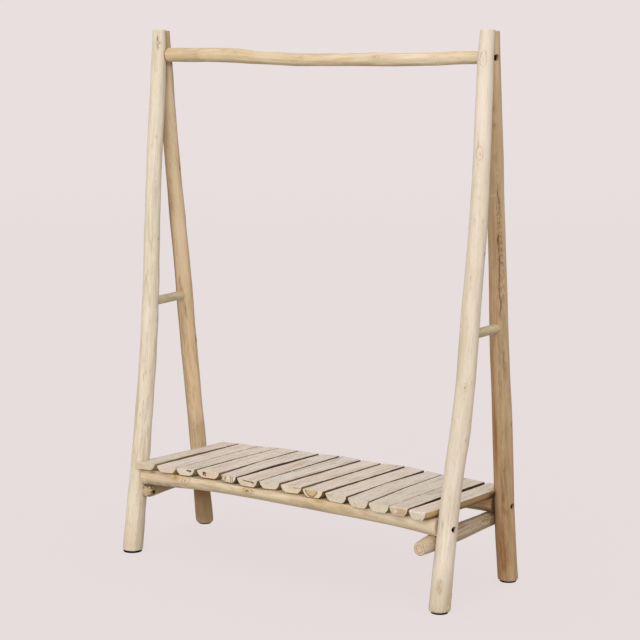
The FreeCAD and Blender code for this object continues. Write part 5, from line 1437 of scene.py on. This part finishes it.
def paper(name, verts, faces):
    """A sheet of the plain paper that the stage is made of."""
    me = bpy.data.meshes.new(name)
    me.from_pydata(verts, [], faces)
    me.shade_smooth()
    ob = bpy.data.objects.new(name, me)
    bpy.context.scene.collection.objects.link(ob)
    t = Tree(name + "_paper")
    t.bsdf.inputs["Base Color"].default_value = FLOOR_COLOR
    t.bsdf.inputs["Roughness"].default_value = 1.0
    t.bsdf.inputs["Specular IOR Level"].default_value = 0.0
    t.bsdf.inputs["Emission Color"].default_value = (0.791, 0.723, 0.716, 1)
    t.bsdf.inputs["Emission Strength"].default_value = FLOOR_GLOW
    t.mat.cycles.emission_sampling = "NONE"
    me.materials.append(t.mat)
    ob.visible_diffuse = False      # dark studio ground: little light comes back up
    return ob


def bend_line(bend, radius, top):
    return [(bend + radius * math.sin(a), radius * (1 - math.cos(a))) for a in np.linspace(0, math.pi / 2, 25)] + [
        (bend + radius, top)]


def sweep(name, half=26.0, near=-16.0, bend=9.5, radius=4.5, top=16.0):
    """A paper sweep: the floor, running up behind the rack in a wide bend."""
    d = Vector((-math.sin(YAW), math.cos(YAW), 0))
    r = Vector((math.cos(YAW), math.sin(YAW), 0))
    line = [(near, 0.0)] + bend_line(bend, radius, top)
    verts = [tuple(d * s_ + r * side + Vector((0, 0, z))) for s_, z in line for side in (-half, half)]
    paper(name, verts, [(2 * k, 2 * k + 1, 2 * k + 3, 2 * k + 2) for k in range(len(line) - 1)])


def surround(name, bend=10.5, radius=4.5, top=16.0, n=96):
    """The same bend all the way round, further out: it lets the light through."""
    line = bend_line(bend, radius, top)
    turn = [2 * math.pi * j / n for j in range(n)]
    verts = [(q * math.cos(a), q * math.sin(a), z) for q, z in line for a in turn]
    ob = paper(name, verts, [(k * n + j, k * n + (j + 1) % n, (k + 1) * n + (j + 1) % n, (k + 1) * n + j)
                             for k in range(len(line) - 1) for j in range(n)])
    ob.visible_shadow = ob.visible_glossy = ob.visible_transmission = False


sweep("floor")
surround("backdrop")
fw = Vector((-math.sin(YAW) * math.cos(PITCH), math.cos(YAW) * math.cos(PITCH), -math.sin(PITCH)))
rt = Vector((math.cos(YAW), math.sin(YAW), 0))
up = rt.cross(fw)
rt2 = math.cos(ROLL) * rt + math.sin(ROLL) * up
up2 = -math.sin(ROLL) * rt + math.cos(ROLL) * up
cam = bpy.data.cameras.new("camera")
cam.sensor_width = 36.0
cam.lens = 1939.009 / 640 * 36.0
cam.clip_start, cam.clip_end = 0.1, 200.0
cam.shift_x = -0.5 / 640
cam_ob = bpy.data.objects.new("camera", cam)
m = Matrix((rt2, up2, -fw)).transposed().to_4x4()
m.translation = Vector((3.14651, -4.36123, 1.48233))
cam_ob.matrix_world = m
bpy.context.scene.collection.objects.link(cam_ob)
bpy.context.scene.camera = cam_ob


def sun(name, azimuth, elevation, strength, angle, color):
    """A broad soft light from a direction: azimuth as seen from above, 0 from the front, 90 from the right."""
    a, e = math.radians(azimuth), math.radians(elevation)
    d = Vector((math.sin(a) * math.cos(e), -math.cos(a) * math.cos(e), math.sin(e)))
    li = bpy.data.lights.new(name, "SUN")
    li.energy, li.angle, li.color = strength, math.radians(angle), color
    ob = bpy.data.objects.new(name, li)
    ob.rotation_mode = "QUATERNION"
    ob.rotation_quaternion = d.to_track_quat("Z", "Y")
    bpy.context.scene.collection.objects.link(ob)


sun("key", 22.0, 18.0, 2.15, 65.0, (1.0, 0.985, 0.962))
world = bpy.data.worlds.new("studio")
bpy.context.scene.world = world
world.use_nodes = True
nt = world.node_tree
nt.nodes.clear()
bg = nt.nodes.new("ShaderNodeBackground")
wo = nt.nodes.new("ShaderNodeOutputWorld")
tc = nt.nodes.new("ShaderNodeTexCoord")
sep = nt.nodes.new("ShaderNodeSeparateXYZ")
ramp = nt.nodes.new("ShaderNodeMapRange")
nt.links.new(tc.outputs["Generated"], sep.inputs[0])
nt.links.new(sep.outputs[2], ramp.inputs["Value"])
for key, val in zip(("From Min", "From Max", "To Min", "To Max"), (-0.6, 0.6, 0.38, 0.92)):
    ramp.inputs[key].default_value = val
nt.links.new(ramp.outputs["Result"], bg.inputs["Strength"])
nt.links.new(bg.outputs[0], wo.inputs[0])
bg.inputs["Color"].default_value = (1.0, 1.0, 1.0, 1)
bpy.context.scene.view_settings.view_transform = "Standard"
bpy.context.scene.view_settings.look = "None"
